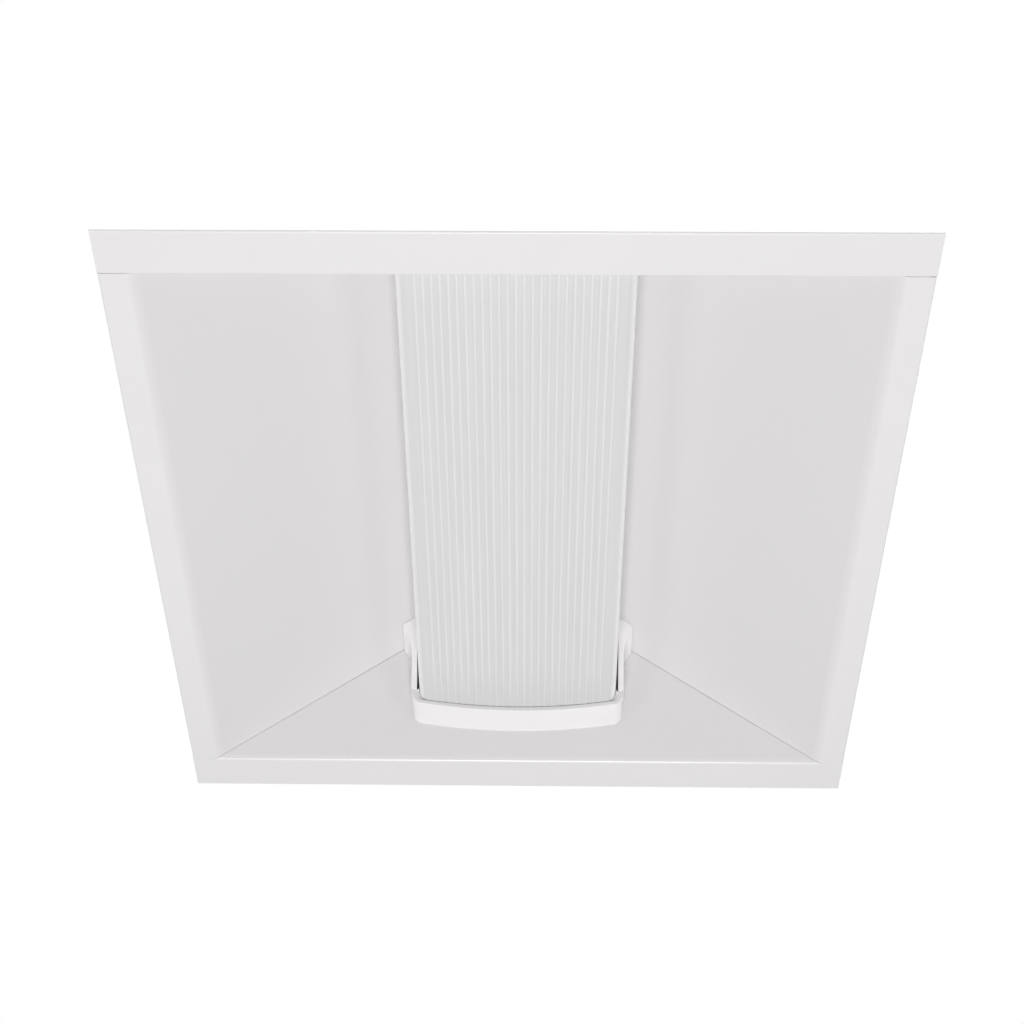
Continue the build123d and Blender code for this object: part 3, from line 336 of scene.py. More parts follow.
# %% Plated, drawn and bare metals
def plain_metal(name, dark, light, low, high, grain_mm, grain_stretch=(1.0, 1.0, 1.0)):
    """A bare or plated metal, with a grain that varies its tint and roughness."""
    material, tree, shader = new_material(name, dark, low, metallic=1.0)
    place = add_node(tree, "ShaderNodeTexCoord").outputs["Object"]
    drawn = add_node(tree, "ShaderNodeMapping", inputs={"Vector": place, "Scale": grain_stretch})
    grain = add_node(tree, "ShaderNodeTexNoise", inputs={
        "Vector": drawn, "Scale": per_metre(grain_mm), "Detail": 3,
    }).outputs["Fac"]
    tint = add_node(tree, "ShaderNodeMix", {"data_type": "RGBA"}, {
        0: grain, 6: linear(dark), 7: linear(light),
    })
    tree.links.new(tint.outputs[2], shader.inputs["Base Color"])
    shade = add_node(tree, "ShaderNodeMapRange", inputs={"Value": grain, "To Min": low, "To Max": high})
    tree.links.new(shade.outputs[0], shader.inputs["Roughness"])
    return material


zinc_plate = plain_metal("barrel-plated zinc", "#a9adb1", "#c2c6ca", 0.26, 0.4, 1.5)
spring_strip = plain_metal("tempered spring strip", "#7c7f84", "#96999e", 0.26, 0.36, 0.6, (1, 1, 0.05))
bare_aluminium = plain_metal("bare aluminium", "#bfc1c3", "#cfd1d3", 0.34, 0.46, 0.8)
drawn_case = plain_metal("drawn aluminium case", "#b7b9bb", "#c9cbcd", 0.32, 0.42, 0.7, (1, 0.02, 1))
tinned_brass = plain_metal("tinned brass", "#b9b3a2", "#cdc8b8", 0.3, 0.42, 0.9)
green_zinc = plain_metal("green dyed zinc", "#23703a", "#2f8a4a", 0.32, 0.42, 1.0)
metals = (zinc_plate, spring_strip, bare_aluminium, drawn_case, tinned_brass, green_zinc)
print("finishes:", [m.name for m in metals])

# %% [markdown]
# ## Finishes inside: tray, boards and leads
# The LED tray is aluminium with a bright white coil coat. A circuit board has a white
# solder mask over copper, and a broad track along its middle stands up a little under the
# mask. Leads have PVC insulation, which is smooth with a soft gloss.

# %% Coil coat, solder mask and insulation
coil_coat, tree, shader = new_material("white coil coat on aluminium", "#e6e6e3", 0.38)
place = add_node(tree, "ShaderNodeTexCoord").outputs["Object"]
rolled = add_node(tree, "ShaderNodeMapping", inputs={"Vector": place, "Scale": (1, 0.03, 1)})
lines = add_node(tree, "ShaderNodeTexNoise", inputs={"Vector": rolled, "Scale": per_metre(2)})
tint = add_node(tree, "ShaderNodeMix", {"data_type": "RGBA"}, {
    0: lines.outputs["Fac"], 6: linear("#e3e3e0"), 7: linear("#e9e9e6"),
})
tree.links.new(tint.outputs[2], shader.inputs["Base Color"])

solder_mask, tree, shader = new_material("white solder mask", "#e2e3dc", 0.3)
place = add_node(tree, "ShaderNodeTexCoord").outputs["Object"]
# The Wave texture turns through 20 radians per unit. One radian every 4 mm makes a wave
# of 25 mm, which puts one track on each board.
tracks = add_node(tree, "ShaderNodeTexWave", {"bands_direction": "X"}, {
    "Vector": place, "Scale": per_metre(4) / 20,
})
edge = add_node(tree, "ShaderNodeMapRange", {"interpolation_type": "SMOOTHSTEP"}, {
    "Value": tracks.outputs["Fac"], "From Min": 0.6, "From Max": 0.75,
})
tint = add_node(tree, "ShaderNodeMix", {"data_type": "RGBA"}, {
    0: edge, 6: linear("#e4e5df"), 7: linear("#dcd9c8"),
})
tree.links.new(tint.outputs[2], shader.inputs["Base Color"])
bump = add_node(tree, "ShaderNodeBump", inputs={"Height": edge, "Strength": 0.3, "Distance": 0.04 * MM})
tree.links.new(bump.outputs["Normal"], shader.inputs["Normal"])

insulation = {
    colour: moulded(f"{colour} PVC insulation", dark, light, 0.36, 3.0)
    for colour, dark, light in (
        ("black", "#141414", "#1c1c1c"),
        ("white", "#d8d7d1", "#e0dfda"),
        ("green", "#1b6b30", "#227a3a"),
        ("red", "#96191b", "#a82224"),
        ("blue", "#1a3c8c", "#22499c"),
    )
}
print("finishes:", coil_coat.name, "and", solder_mask.name, "and insulation:", sorted(insulation))

# %% [markdown]
# ## Dress the solids
# A solid whose shape is right stays as it is and only takes a finish. The table names the
# finish of each of them, piece by piece. The solids it leaves out are remade further down.

# %% Give each solid its finish
finish_of = {
    powder_coat: ["left_reflector", "right_reflector", "near_end_plate", "far_end_plate"],
    galvanised: ["top_pan", "driver_box", "driver_box_cover", "driver_tray"],
    coil_coat: ["led_tray"],
    solder_mask: ["left_led_board", "right_led_board"],
    white_nylon: ["board_connectors", "tray_connector", "driver_connectors"],
    black_nylon: ["snap_bushing", "terminal_block"],
    spring_strip: ["basket_springs"],
    bare_aluminium: ["cover_pins"],
    zinc_plate: [
        "cover_screw", "near_left_clip", "near_right_clip", "far_left_clip", "far_right_clip",
    ],
    drawn_case: ["driver"],
    tinned_brass: ["ground_lug"],
    green_zinc: ["ground_screw"],
    insulation["black"]: ["live_lead"],
    insulation["white"]: ["neutral_lead", "board_jumper"],
    insulation["green"]: ["ground_lead"],
    insulation["red"]: ["positive_lead"],
    insulation["blue"]: ["negative_lead"],
}
for material, names in finish_of.items():
    for name in names:
        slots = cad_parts[name].data.materials
        slots.clear()
        slots.append(material)
dressed = {name for names in finish_of.values() for name in names}
print("dressed", len(dressed), "solids, to remake:", sorted(set(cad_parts) - dressed))

# %% [markdown]
# ## Sections of the trough-shaped pieces
# The lens and the caps are all troughs: straight walls, a rounded corner, and a floor with a
# very gentle bow. One function gives that section as a run of points, so the corner is a true
# arc that is tangent to the wall and to the bow, and everything that follows stays in step.

# %% The trough section
bow_radius = 850.0


def bow_z(x, floor):
    """Height of the bowed floor at this distance from the middle."""
    return floor + bow_radius - math.sqrt(bow_radius**2 - x**2)


def trough(half_width, floor, corner, top, corner_steps=8, floor_steps=24):
    """Points of a trough section from the top of its left wall to the top of its right wall."""
    centre_x = half_width - corner
    centre_z = floor + bow_radius - math.sqrt((bow_radius - corner) ** 2 - centre_x**2)
    low_angle = math.atan2(centre_z - (floor + bow_radius), centre_x)
    rounding = [
        (centre_x + corner * math.cos(a), centre_z + corner * math.sin(a))
        for a in (low_angle * (1 - i / corner_steps) for i in range(corner_steps + 1))
    ]
    last_x = rounding[0][0]
    flat = [
        (x, bow_z(x, floor))
        for x in (last_x * (2 * i / floor_steps - 1) for i in range(1, floor_steps))
    ]
    left = [(-half_width, top)] + [(-x, z) for x, z in reversed(rounding)]
    return left + flat + rounding + [(half_width, top)]


print("a trough section has", len(trough(90.0, 20.4, 8.0, 62.0)), "points")

# %% [markdown]
# ## From a section to a wall
# Each piece ends on a leaning plane, because the end plates lean. So a wall is an outer and an
# inner section whose points are put on a front and on a back plane, with faces between them.
# An extruded curve would end square, and would have to be cut, so plain mesh code is simpler.

# %% Build a wall between two leaning planes
def on_plane(bm, plane, run):
    """Puts the (x, z) points of a run on a leaning plane, given as (y at z = 0, lean)."""
    y_zero, lean = plane
    return [bm.verts.new((x * MM, (y_zero - lean * z) * MM, z * MM)) for x, z in run]


def shell_solid(bm, outer, inner, front, back):
    """Adds a wall between an outer and an inner run of as many points, with quads at its ends."""
    out_front, out_back = on_plane(bm, front, outer), on_plane(bm, back, outer)
    in_front, in_back = on_plane(bm, front, inner), on_plane(bm, back, inner)
    last = len(outer) - 1
    for i in range(last):
        bm.faces.new((out_front[i], out_front[i + 1], out_back[i + 1], out_back[i]))
        bm.faces.new((in_front[i + 1], in_front[i], in_back[i], in_back[i + 1]))
        bm.faces.new((out_front[i + 1], out_front[i], in_front[i], in_front[i + 1]))
        bm.faces.new((out_back[i], out_back[i + 1], in_back[i + 1], in_back[i]))
    for i in (0, last):
        bm.faces.new((out_front[i], out_back[i], in_back[i], in_front[i]))


def shade_smooth(mesh, sharp_angle):
    """Shades all faces smooth, and keeps an edge sharp where its faces turn by more than this."""
    for polygon in mesh.polygons:
        polygon.use_smooth = True
    mesh.set_sharp_from_angle(angle=math.radians(sharp_angle))


def to_object(name, bm, material, sharp_angle=32):
    """Turns mesh code into a finished object at the origin, with its normals outwards."""
    bmesh.ops.recalc_face_normals(bm, faces=bm.faces)
    mesh = bpy.data.meshes.new(name)
    bm.to_mesh(mesh)
    bm.free()
    shade_smooth(mesh, sharp_angle)
    mesh.materials.append(material)
    obj = bpy.data.objects.new(name, mesh)
    bpy.context.scene.collection.objects.link(obj)
    return obj


print("ready to build between leaning planes")

# %% [markdown]
# ## The lens
# The lens is pushed through a die, so its wall is the same from end to end. Its upper walls
# stand a little closer together above a shoulder, which clears the posts of the end caps.

# %% Build the lens's wall
lens_half, lens_floor, lens_corner, lens_wall = 90.0, 20.4, 8.0, 2.0
neck_half, shoulder_low, shoulder_high, lens_top = 88.3, 62.0, 65.0, 80.0
near_plane = (-263.2, -0.32)
far_plane = (262.4, 1.0)


def lens_section(inset):
    """The lens's section, moved in by the inset."""
    run = trough(lens_half - inset, lens_floor + inset, lens_corner - inset, shoulder_low)
    neck = neck_half - inset
    return [(-neck, lens_top), (-neck, shoulder_high)] + run + [(neck, shoulder_high), (neck, lens_top)]


bm = bmesh.new()
shell_solid(bm, lens_section(0), lens_section(lens_wall), near_plane, far_plane)
ribbed_lens = to_object("ribbed_lens", bm, lens_acrylic)
print("lens wall:", len(ribbed_lens.data.polygons), "faces")

# %% [markdown]
# ## The ribs
# Fine low ridges run dead straight along the lens and spread its light. They repeat by one
# rule, so Geometry Nodes sets them out: a line of points across the lens, moved down onto the
# bow, with a stretched ridge on every point. Each ridge starts and ends on the two leaning
# planes that also cut the lens. The sizes are named inputs, so the tree fits any such lens.

# %% Helpers for Geometry Nodes
def new_tree(name, sizes, sockets=()):
    """A Geometry Nodes tree with named inputs for its sizes and for other kinds of input."""
    tree = bpy.data.node_groups.new(name, "GeometryNodeTree")
    tree.interface.new_socket("Geometry", in_out="INPUT", socket_type="NodeSocketGeometry")
    for key, value in sizes.items():
        kind = "NodeSocketInt" if isinstance(value, int) else "NodeSocketFloat"
        tree.interface.new_socket(key, in_out="INPUT", socket_type=kind)
    for key, kind in sockets:
        tree.interface.new_socket(key, in_out="INPUT", socket_type=kind)
    tree.interface.new_socket("Geometry", in_out="OUTPUT", socket_type="NodeSocketGeometry")
    return tree, add_node(tree, "NodeGroupInput").outputs, add_node(tree, "NodeGroupOutput")


def settle(obj):
    """Replaces the object's mesh by its evaluated mesh, and takes the modifiers off."""
    shown = obj.evaluated_get(bpy.context.evaluated_depsgraph_get())
    mesh = bpy.data.meshes.new_from_object(shown)
    obj.modifiers.clear()
    obj.data = mesh


def grow(obj, tree, values):
    """Runs a tree on an object, with its inputs set, and keeps the result as a plain mesh."""
    modifier = obj.modifiers.new(tree.name, "NODES")
    modifier.node_group = tree
    for item in tree.interface.items_tree:
        if item.in_out == "INPUT" and item.name in values:
            modifier[item.identifier] = values[item.name]
    settle(obj)


print("ready to grow trees")

# %% A tree that lays ribs
rib_sizes = {
    "Count": 25, "Pitch": 6.26 * MM, "Width": 1.9 * MM, "Height": 0.35 * MM,
    "Floor": lens_floor * MM, "Bow Radius": bow_radius * MM,
    "Near Y": near_plane[0] * MM, "Near Lean": near_plane[1],
    "Far Y": far_plane[0] * MM, "Far Lean": far_plane[1],
}
tree, given, result = new_tree("ribs along a lens", rib_sizes, [("Material", "NodeSocketMaterial")])
gaps = add_node(tree, "ShaderNodeMath", {"operation": "SUBTRACT"}, {0: given["Count"], 1: 1})
spread = add_node(tree, "ShaderNodeMath", {"operation": "MULTIPLY"}, {0: gaps, 1: given["Pitch"]})
first = add_node(tree, "ShaderNodeMath", {"operation": "MULTIPLY"}, {0: spread, 1: -0.5})
line = add_node(tree, "GeometryNodeMeshLine", inputs={
    "Count": given["Count"],
    "Start Location": add_node(tree, "ShaderNodeCombineXYZ", inputs={"X": first}),
    "Offset": add_node(tree, "ShaderNodeCombineXYZ", inputs={"X": given["Pitch"]}),
})

# The height of the bow at each point of the line.
position = add_node(tree, "GeometryNodeInputPosition")
across = add_node(tree, "ShaderNodeSeparateXYZ", inputs={0: position}).outputs["X"]
radius_squared = add_node(tree, "ShaderNodeMath", {"operation": "POWER"}, {0: given["Bow Radius"], 1: 2})
across_squared = add_node(tree, "ShaderNodeMath", {"operation": "POWER"}, {0: across, 1: 2})
difference = add_node(tree, "ShaderNodeMath", {"operation": "SUBTRACT"}, {
    0: radius_squared, 1: across_squared,
})
drop = add_node(tree, "ShaderNodeMath", {"operation": "SQRT"}, {0: difference})
centre = add_node(tree, "ShaderNodeMath", {"operation": "ADD"}, {0: given["Floor"], 1: given["Bow Radius"]})
height = add_node(tree, "ShaderNodeMath", {"operation": "SUBTRACT"}, {0: centre, 1: drop})

# Where the two leaning planes cut each ridge.
near_lean = add_node(tree, "ShaderNodeMath", {"operation": "MULTIPLY"}, {0: given["Near Lean"], 1: height})
start = add_node(tree, "ShaderNodeMath", {"operation": "SUBTRACT"}, {0: given["Near Y"], 1: near_lean})
far_lean = add_node(tree, "ShaderNodeMath", {"operation": "MULTIPLY"}, {0: given["Far Lean"], 1: height})
end = add_node(tree, "ShaderNodeMath", {"operation": "SUBTRACT"}, {0: given["Far Y"], 1: far_lean})
on_bow = add_node(tree, "GeometryNodeSetPosition", inputs={
    "Geometry": line,
    "Position": add_node(tree, "ShaderNodeCombineXYZ", inputs={"X": across, "Y": start, "Z": height}),
})
ridge = add_node(tree, "GeometryNodeMeshCylinder", inputs={"Vertices": 16, "Radius": 1.0, "Depth": 1.0})
laid = add_node(tree, "GeometryNodeTransform", inputs={
    "Geometry": ridge, "Translation": (0, 0.5, 0), "Rotation": (math.radians(90), 0, 0),
})

# Each point carries the length of its own ridge, because the bow makes them differ a little.
length = add_node(tree, "ShaderNodeMath", {"operation": "SUBTRACT"}, {0: end, 1: start})
stored = add_node(tree, "GeometryNodeStoreNamedAttribute", {"data_type": "FLOAT", "domain": "POINT"}, {
    "Geometry": on_bow, "Name": "length", "Value": length,
})
own_length = add_node(tree, "GeometryNodeInputNamedAttribute", {"data_type": "FLOAT"}, {"Name": "length"})
half_width = add_node(tree, "ShaderNodeMath", {"operation": "MULTIPLY"}, {0: given["Width"], 1: 0.5})
ribs = add_node(tree, "GeometryNodeInstanceOnPoints", inputs={
    "Points": stored, "Instance": laid,
    "Scale": add_node(tree, "ShaderNodeCombineXYZ", inputs={
        "X": half_width, "Y": own_length, "Z": given["Height"],
    }),
})
real = add_node(tree, "GeometryNodeRealizeInstances", inputs={0: ribs})
named = add_node(tree, "GeometryNodeSetMaterial", inputs={"Geometry": real, "Material": given["Material"]})
joined = add_node(tree, "GeometryNodeJoinGeometry", inputs={0: given["Geometry"]})
tree.links.new(named.outputs[0], joined.inputs[0])
tree.links.new(joined.outputs[0], result.inputs[0])
print("rib tree:", len(tree.nodes), "nodes")

# %% Grow the ribs on the lens
# The ridges take the lighter acrylic, a painted highlight.
grow(ribbed_lens, tree, {**rib_sizes, "Material": rib_highlight_acrylic})
shade_smooth(ribbed_lens.data, 32)
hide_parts("lens")
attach(ribbed_lens, "basket")
print("lens:", len(ribbed_lens.data.polygons), "faces")

# %% [markdown]
# ## Two more kinds of moulded wall
# A cap is a wall that a web closes at the back, and its outer back edge is a full rounding. A
# Bevel modifier could not make it fade out up the arms, so the arc is built point by point.
# A post is simpler: a closed section, pulled from one plane to another. The small edges that
# are left are rounded with a Bevel modifier, because a moulding never has a sharp edge.

# %% Build a cup, a post and rounded edges
def band_solid(bm, loop, front, back):
    """Adds a solid: a closed section between two leaning planes."""
    near, far = on_plane(bm, front, loop), on_plane(bm, back, loop)
    for i in range(len(loop)):
        j = (i + 1) % len(loop)
        bm.faces.new((near[i], near[j], far[j], far[i]))
    bm.faces.new(near[::-1])
    bm.faces.new(far)


def cup_solid(bm, outer, inner, radii, front, back, web):
    """Adds a U-shaped wall that a web closes at the back. Its outer back edge is rounded."""
    back_y, back_lean = back
    slant = math.hypot(1, back_lean)
    behind = Vector((0, 1, back_lean)) / slant
    steps = 8
    last = len(outer) - 1
    # Each outer point ends in an arc that turns from the wall's own direction to straight back.
    arcs = []
    for i, ((x, z), radius) in enumerate(zip(outer, radii)):
        (x0, z0), (x1, z1) = outer[max(i - 1, 0)], outer[min(i + 1, last)]
        outward = Vector((z1 - z0, 0, x0 - x1)).normalized()
        mid_x, mid_z = x - radius * outward.x, z - radius * outward.z
        middle = Vector((mid_x, back_y - back_lean * mid_z - radius * slant, mid_z))
        arcs.append([middle + radius * outward.slerp(behind, k / steps) for k in range(steps + 1)])
    skin = [on_plane(bm, front, outer)]
    skin += [[bm.verts.new(arc[k] * MM) for arc in arcs] for k in range(steps + 1)]
    mouth, floor = on_plane(bm, front, inner), on_plane(bm, (back_y - web, back_lean), inner)
    # The second point of the inner run, and the last but one, mark the top of the web.
    rim = on_plane(bm, back, [inner[-1], inner[-2], inner[1], inner[0]])
    for near, far in zip(skin, skin[1:]):
        for i in range(last):
            bm.faces.new((near[i], near[i + 1], far[i + 1], far[i]))
    for i in range(len(inner) - 1):
        bm.faces.new((mouth[i], mouth[i + 1], floor[i + 1], floor[i]))
    bm.faces.new(skin[-1] + rim)
    bm.faces.new(floor[1:-1])
    bm.faces.new((rim[2], rim[1], floor[-2], floor[1]))
    bm.faces.new((floor[0], floor[1], rim[2], rim[3]))
    bm.faces.new((floor[-1], floor[-2], rim[1], rim[0]))
    bm.faces.new([ring[0] for ring in skin] + [rim[3], floor[0], mouth[0]])
    bm.faces.new([ring[-1] for ring in skin] + [rim[0], floor[-1], mouth[-1]])
    # The front is split where the arms begin, so that the lip below can take its own finish:
    #     a grained, darker white that is painted shade.
    arm_start = 40
    out_arm = next(i for i, (x, z) in enumerate(outer) if z < arm_start)
    in_arm = next(i for i, (x, z) in enumerate(inner) if z < arm_start)
    out_end, in_end = len(outer) - out_arm, len(inner) - in_arm
    bm.faces.new(skin[0][:out_arm + 1] + mouth[:in_arm + 1][::-1])
    bm.faces.new(skin[0][out_arm:out_end] + mouth[in_arm:in_end][::-1])
    bm.faces.new(skin[0][out_end - 1:] + mouth[in_end - 1:][::-1])
    bmesh.ops.remove_doubles(bm, verts=bm.verts, dist=1e-7)


def round_edges(obj, width_mm, segments=3, angle=40):
    """Rounds the sharp edges with a Bevel modifier, then keeps the result as the mesh."""
    bevel = obj.modifiers.new("bevel", "BEVEL")
    bevel.width = width_mm * MM
    bevel.segments = segments
    bevel.limit_method = "ANGLE"
    bevel.angle_limit = math.radians(angle)
    settle(obj)


print("ready to mould caps")

# %% [markdown]
# ## The moulded end caps
# Each cap is a deep U with flared feet, moulded in one piece. Its lower front edge is a thin
# lip, its corners are soft, and the feet sweep out in a hollow curve to the reflectors. The
# section is one run of points outside and one inside. Its arcs start tangent to the walls, so
# that no crease shows where they leave them.

# %% Build the end caps
floor_out, floor_in = 17.3, 19.6
arm_out, arm_in = 97.3, 92.3
corner_out, corner_in = 9.0, 6.0
foot_out, foot_start, flare_end = 105.5, 54.0, 71.2
web_top, ring_top, lip_top = 74.0, 31.0, 30.0
reflector_edge, foot_gap = 281.0, 0.4
slope_rise = math.tan(math.radians(22.62))


def foot_top(x):
    """Height of a foot's top, just below the reflector."""
    return (reflector_edge - abs(x)) * slope_rise - foot_gap


reach, climb = foot_out - arm_out, flare_end - foot_start
flare_radius = (reach**2 + climb**2) / (2 * reach)
flare_turn = math.asin(climb / flare_radius)
flare_steps = 10
flare = [
    (arm_out + flare_radius * (1 - math.cos(t)), foot_start + flare_radius * math.sin(t))
    for t in (flare_turn * i / flare_steps for i in range(flare_steps + 1))
]
bottom = trough(arm_out, floor_out, corner_out, foot_start)[1:-1]
outside = [(-x, z) for x, z in reversed(flare)] + bottom + flare
outside = [(-foot_out, foot_top(foot_out))] + outside + [(foot_out, foot_top(foot_out))]
inside = trough(arm_in, floor_in, corner_in, web_top)
inside = [(-arm_in, foot_top(arm_in))] + inside + [(arm_in, foot_top(arm_in))]

# A ring inside the U carries the lens. It reaches a little into the U's floor and arms.
ring_outer = trough(92.8, 19.2, 6.5, ring_top)
ring_inner = trough(90.35, 19.6, 8.3, ring_top)
# A post rises from the inner side of each arm, for the spring that grips it.
post_section = [
    (89.0, 70), (92.8, 70), (92.8, 76), (91.5, 77), (91.5, 89.4), (90.9, 90), (89.6, 90), (89.0, 89.4),
]


def end_cap(name, front, back, web, ring_front, post_y, post_long, direction, back_radius=0.0):
    """One cap. Planes are given for +Y, and direction -1 turns the cap to the near end."""
    bm = bmesh.new()
    # The rounding is full along the bottom, and fades out up the arms.
    radii = [back_radius * min(1, max(0, (45 - z) / 15)) for _, z in outside]
    cup_solid(bm, outside, inside, radii, front, back, web)
    cap = to_object(name, bm, cap_plastic)
    round_edges(cap, 0.35)
    bm = bmesh.new()
    bm.from_mesh(cap.data)
    ring_back = (back[0] - web + 0.2, back[1])
    shell_solid(bm, ring_outer, ring_inner, ring_front, ring_back)
    for side in (-1, 1):
        post = [(side * x, z) for x, z in post_section]
        band_solid(bm, post, (post_y - post_long / 2, 0), (post_y + post_long / 2, 0))
    if direction < 0:
        bmesh.ops.scale(bm, vec=(1, -1, 1), verts=bm.verts)
    bmesh.ops.recalc_face_normals(bm, faces=bm.faces)
    bm.to_mesh(cap.data)
    bm.free()
    # Painted shade: the lip's faces that turn to the front, below lip_top, take the darker plastic.
    cap.data.materials.append(lip_shade_plastic)
    lip_shade_slot = len(cap.data.materials) - 1
    towards_us = Vector((0, -direction, -front[1])).normalized()
    for polygon in cap.data.polygons:
        if polygon.normal.dot(towards_us) > 0.9 and polygon.center.z < lip_top * MM:
            polygon.material_index = lip_shade_slot
    shade_smooth(cap.data, 50)
    return cap


far_cap = end_cap(
    "moulded_far_cap", front=(232.2, 1.0), back=(265.6, 1.0), web=2.8, ring_front=(233.7, 1.0),
    post_y=170.0, post_long=12.0, direction=1, back_radius=2.6,
)
near_cap = end_cap(
    "moulded_near_cap", front=(262.2, 0.41), back=(265.6, 0.32), web=2.0, ring_front=(262.2, 0.41),
    post_y=236.6, post_long=6.8, direction=-1,
)
for cap, node in ((far_cap, "far_end_cap"), (near_cap, "near_end_cap")):
    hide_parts(node)
    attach(cap, "basket")
    print(cap.name, len(cap.data.polygons), "faces")

# %% [markdown]
# ## Screws, rivets and LEDs, set out on points
# Small parts that repeat are made once and set out on points. A hex washer head screw is cold
# formed, then its threads are rolled. A rivet's dome is pressed as it is set. Each LED is a
# moulded white cup filled with yellow phosphor. A node tree puts a copy on every point, turns
# it the way the point faces, and gives each one its own spin, as a screwdriver would leave it.

# %% A node tree that sets pieces out
tree, given, result = new_tree("set out on points", {"Seed": 0, "Spin": 0.0}, [
    ("Piece", "NodeSocketObject"), ("Material", "NodeSocketMaterial"),
])
own_turn = add_node(tree, "GeometryNodeInputNamedAttribute", {"data_type": "FLOAT_VECTOR"}, {
    "Name": "turn",
})
facing = add_node(tree, "FunctionNodeEulerToRotation", inputs={0: own_turn})
piece = add_node(tree, "GeometryNodeObjectInfo", inputs={"Object": given["Piece"]})
placed = add_node(tree, "GeometryNodeInstanceOnPoints", inputs={
    "Points": given["Geometry"], "Instance": piece.outputs["Geometry"], "Rotation": facing,
})
angle = add_node(tree, "FunctionNodeRandomValue", {"data_type": "FLOAT"}, {
    3: given["Spin"], "Seed": given["Seed"],
})
about_z = add_node(tree, "ShaderNodeCombineXYZ", inputs={"Z": angle.outputs[1]})
spin = add_node(tree, "FunctionNodeEulerToRotation", inputs={0: about_z})
spun = add_node(tree, "GeometryNodeRotateInstances", inputs={
    "Instances": placed, "Rotation": spin, "Local Space": True,
})
real = add_node(tree, "GeometryNodeRealizeInstances", inputs={0: spun})
named = add_node(tree, "GeometryNodeSetMaterial", inputs={"Geometry": real, "Material": given["Material"]})
tree.links.new(named.outputs[0], result.inputs[0])
set_out_tree = tree
print("set-out tree:", len(tree.nodes), "nodes")

# %% Shapes turned round an axis, and how they are set out
UP, DOWN = (0, 0, 0), (math.pi, 0, 0)
TO_RIGHT, TO_LEFT = (0, math.pi / 2, 0), (0, -math.pi / 2, 0)


def turned(bm, profile, sides):
    """Adds a shape turned round the Z axis, from (radius, height) pairs in millimetres."""
    rings = []
    for radius, height in profile:
        angles = [0] if radius == 0 else [math.tau * i / sides for i in range(sides)]
        rings.append([
            bm.verts.new((radius * math.cos(a) * MM, radius * math.sin(a) * MM, height * MM)) for a in angles
        ])
    for low, high in zip(rings, rings[1:]):
        for i in range(sides):
            j = (i + 1) % sides
            corners = [low[i % len(low)], low[j % len(low)], high[j % len(high)], high[i % len(high)]]
            bm.faces.new(list(dict.fromkeys(corners)))


def spots_at(xs, ys, z, turn):
    """A spot at every pair of an x and a y: its place in millimetres and its turn."""
    return [((x, y, z), turn) for x in xs for y in ys]


def set_out(name, node, material, bm, spots, spin=0.0, seed=1):
    """Sets the piece in bm out on the spots."""
    piece = to_object(name + "_piece", bm, material, 38)
    points = bpy.data.meshes.new(name)
    points.from_pydata([Vector(place) * MM for place, _ in spots], [], [])
    turns = points.attributes.new("turn", "FLOAT_VECTOR", "POINT")
    for i, (_, turn) in enumerate(spots):
        turns.data[i].vector = turn
    made = bpy.data.objects.new(name, points)
    bpy.context.scene.collection.objects.link(made)
    grow(made, set_out_tree, {"Seed": seed, "Spin": spin, "Piece": piece, "Material": material})
    bpy.data.objects.remove(piece)
    if node:
        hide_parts(node)
    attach(made, "housing")
    print(name, len(spots), "times,", len(made.data.polygons), "faces")


# %% [markdown]
# ## Make the screws
# The hex washer head gets its flange from the punch, and its chamfered top keeps burrs away
# from the socket. The pan heads on the boards and the driver have a recess for the bit.

# %% Screws
def shank_of(bm, radius, long, point):
    """Adds a screw's shank below z = 0. Its end tapers over the length of the point."""
    turned(bm, [(0, -long), (radius * 0.6, -long), (radius, -long + point), (radius, 0.1), (0, 0.1)], 8)


def hex_head(flange, flange_tall, corner, top, shank, shank_long):
    """A washer head screw with its seat at z = 0."""
    bm = bmesh.new()
    turned(bm, [(0, 0), (flange - 0.1, 0), (flange, 0.3), (flange - 0.4, flange_tall), (0, flange_tall)], 16)
    low = flange_tall - 0.1
    turned(bm, [(0, low), (corner, low), (corner, top - 0.4), (corner * 0.88, top), (0, top)], 6)
    shank_of(bm, shank, shank_long, 1.2)
    return bm


def pan_head(radius, top, shank, shank_long):
    """A pan head screw with a recess for the bit and its seat at z = 0."""
    bm = bmesh.new()
    dome = [(0, 0), (radius, 0), (radius, top * 0.35), (radius * 0.86, top * 0.8), (radius * 0.5, top)]
    turned(bm, dome + [(radius * 0.4, top * 0.4), (0, top * 0.4)], 12)
    shank_of(bm, shank, shank_long, 0.8)
    return bm


pan_top, end_screw_y = 96.0, (-233.3, 179.5)
spine_spots = spots_at((-84, 84), (-196, -92, 12, 116), pan_top, UP)
spine_spots += spots_at((-50, 50), end_screw_y, pan_top, UP)
spine_screw = hex_head(flange=4.6, flange_tall=0.8, corner=3.5, top=2.4, shank=2.0, shank_long=5.5)
board_x, board_middle, board_face = (-36, 36), -29.8, 82.4
board_spots = spots_at(board_x, [board_middle + y for y in (-125, 0, 125)], board_face, DOWN)
board_screw = pan_head(radius=2.8, top=1.6, shank=1.5, shank_long=4.0)
driver_spots = spots_at((192,), (-136, 66), 59.8, UP)
driver_screw = pan_head(radius=3.2, top=2.2, shank=1.6, shank_long=5.8)
for kind, screw, spots, seed in (
    ("spine_screw", spine_screw, spine_spots, 3),
    ("board_screw", board_screw, board_spots, 5),
    ("driver_screw", driver_screw, driver_spots, 7),
):
    set_out(kind + "_set", kind + "s", zinc_plate, screw, spots, math.tau, seed)

# %% [markdown]
# ## Make the rivets
# A rivet joins the folded sheets where no screw head may show. Its dome faces the side it was
# set from, and the tail is upset into a second, flatter dome.

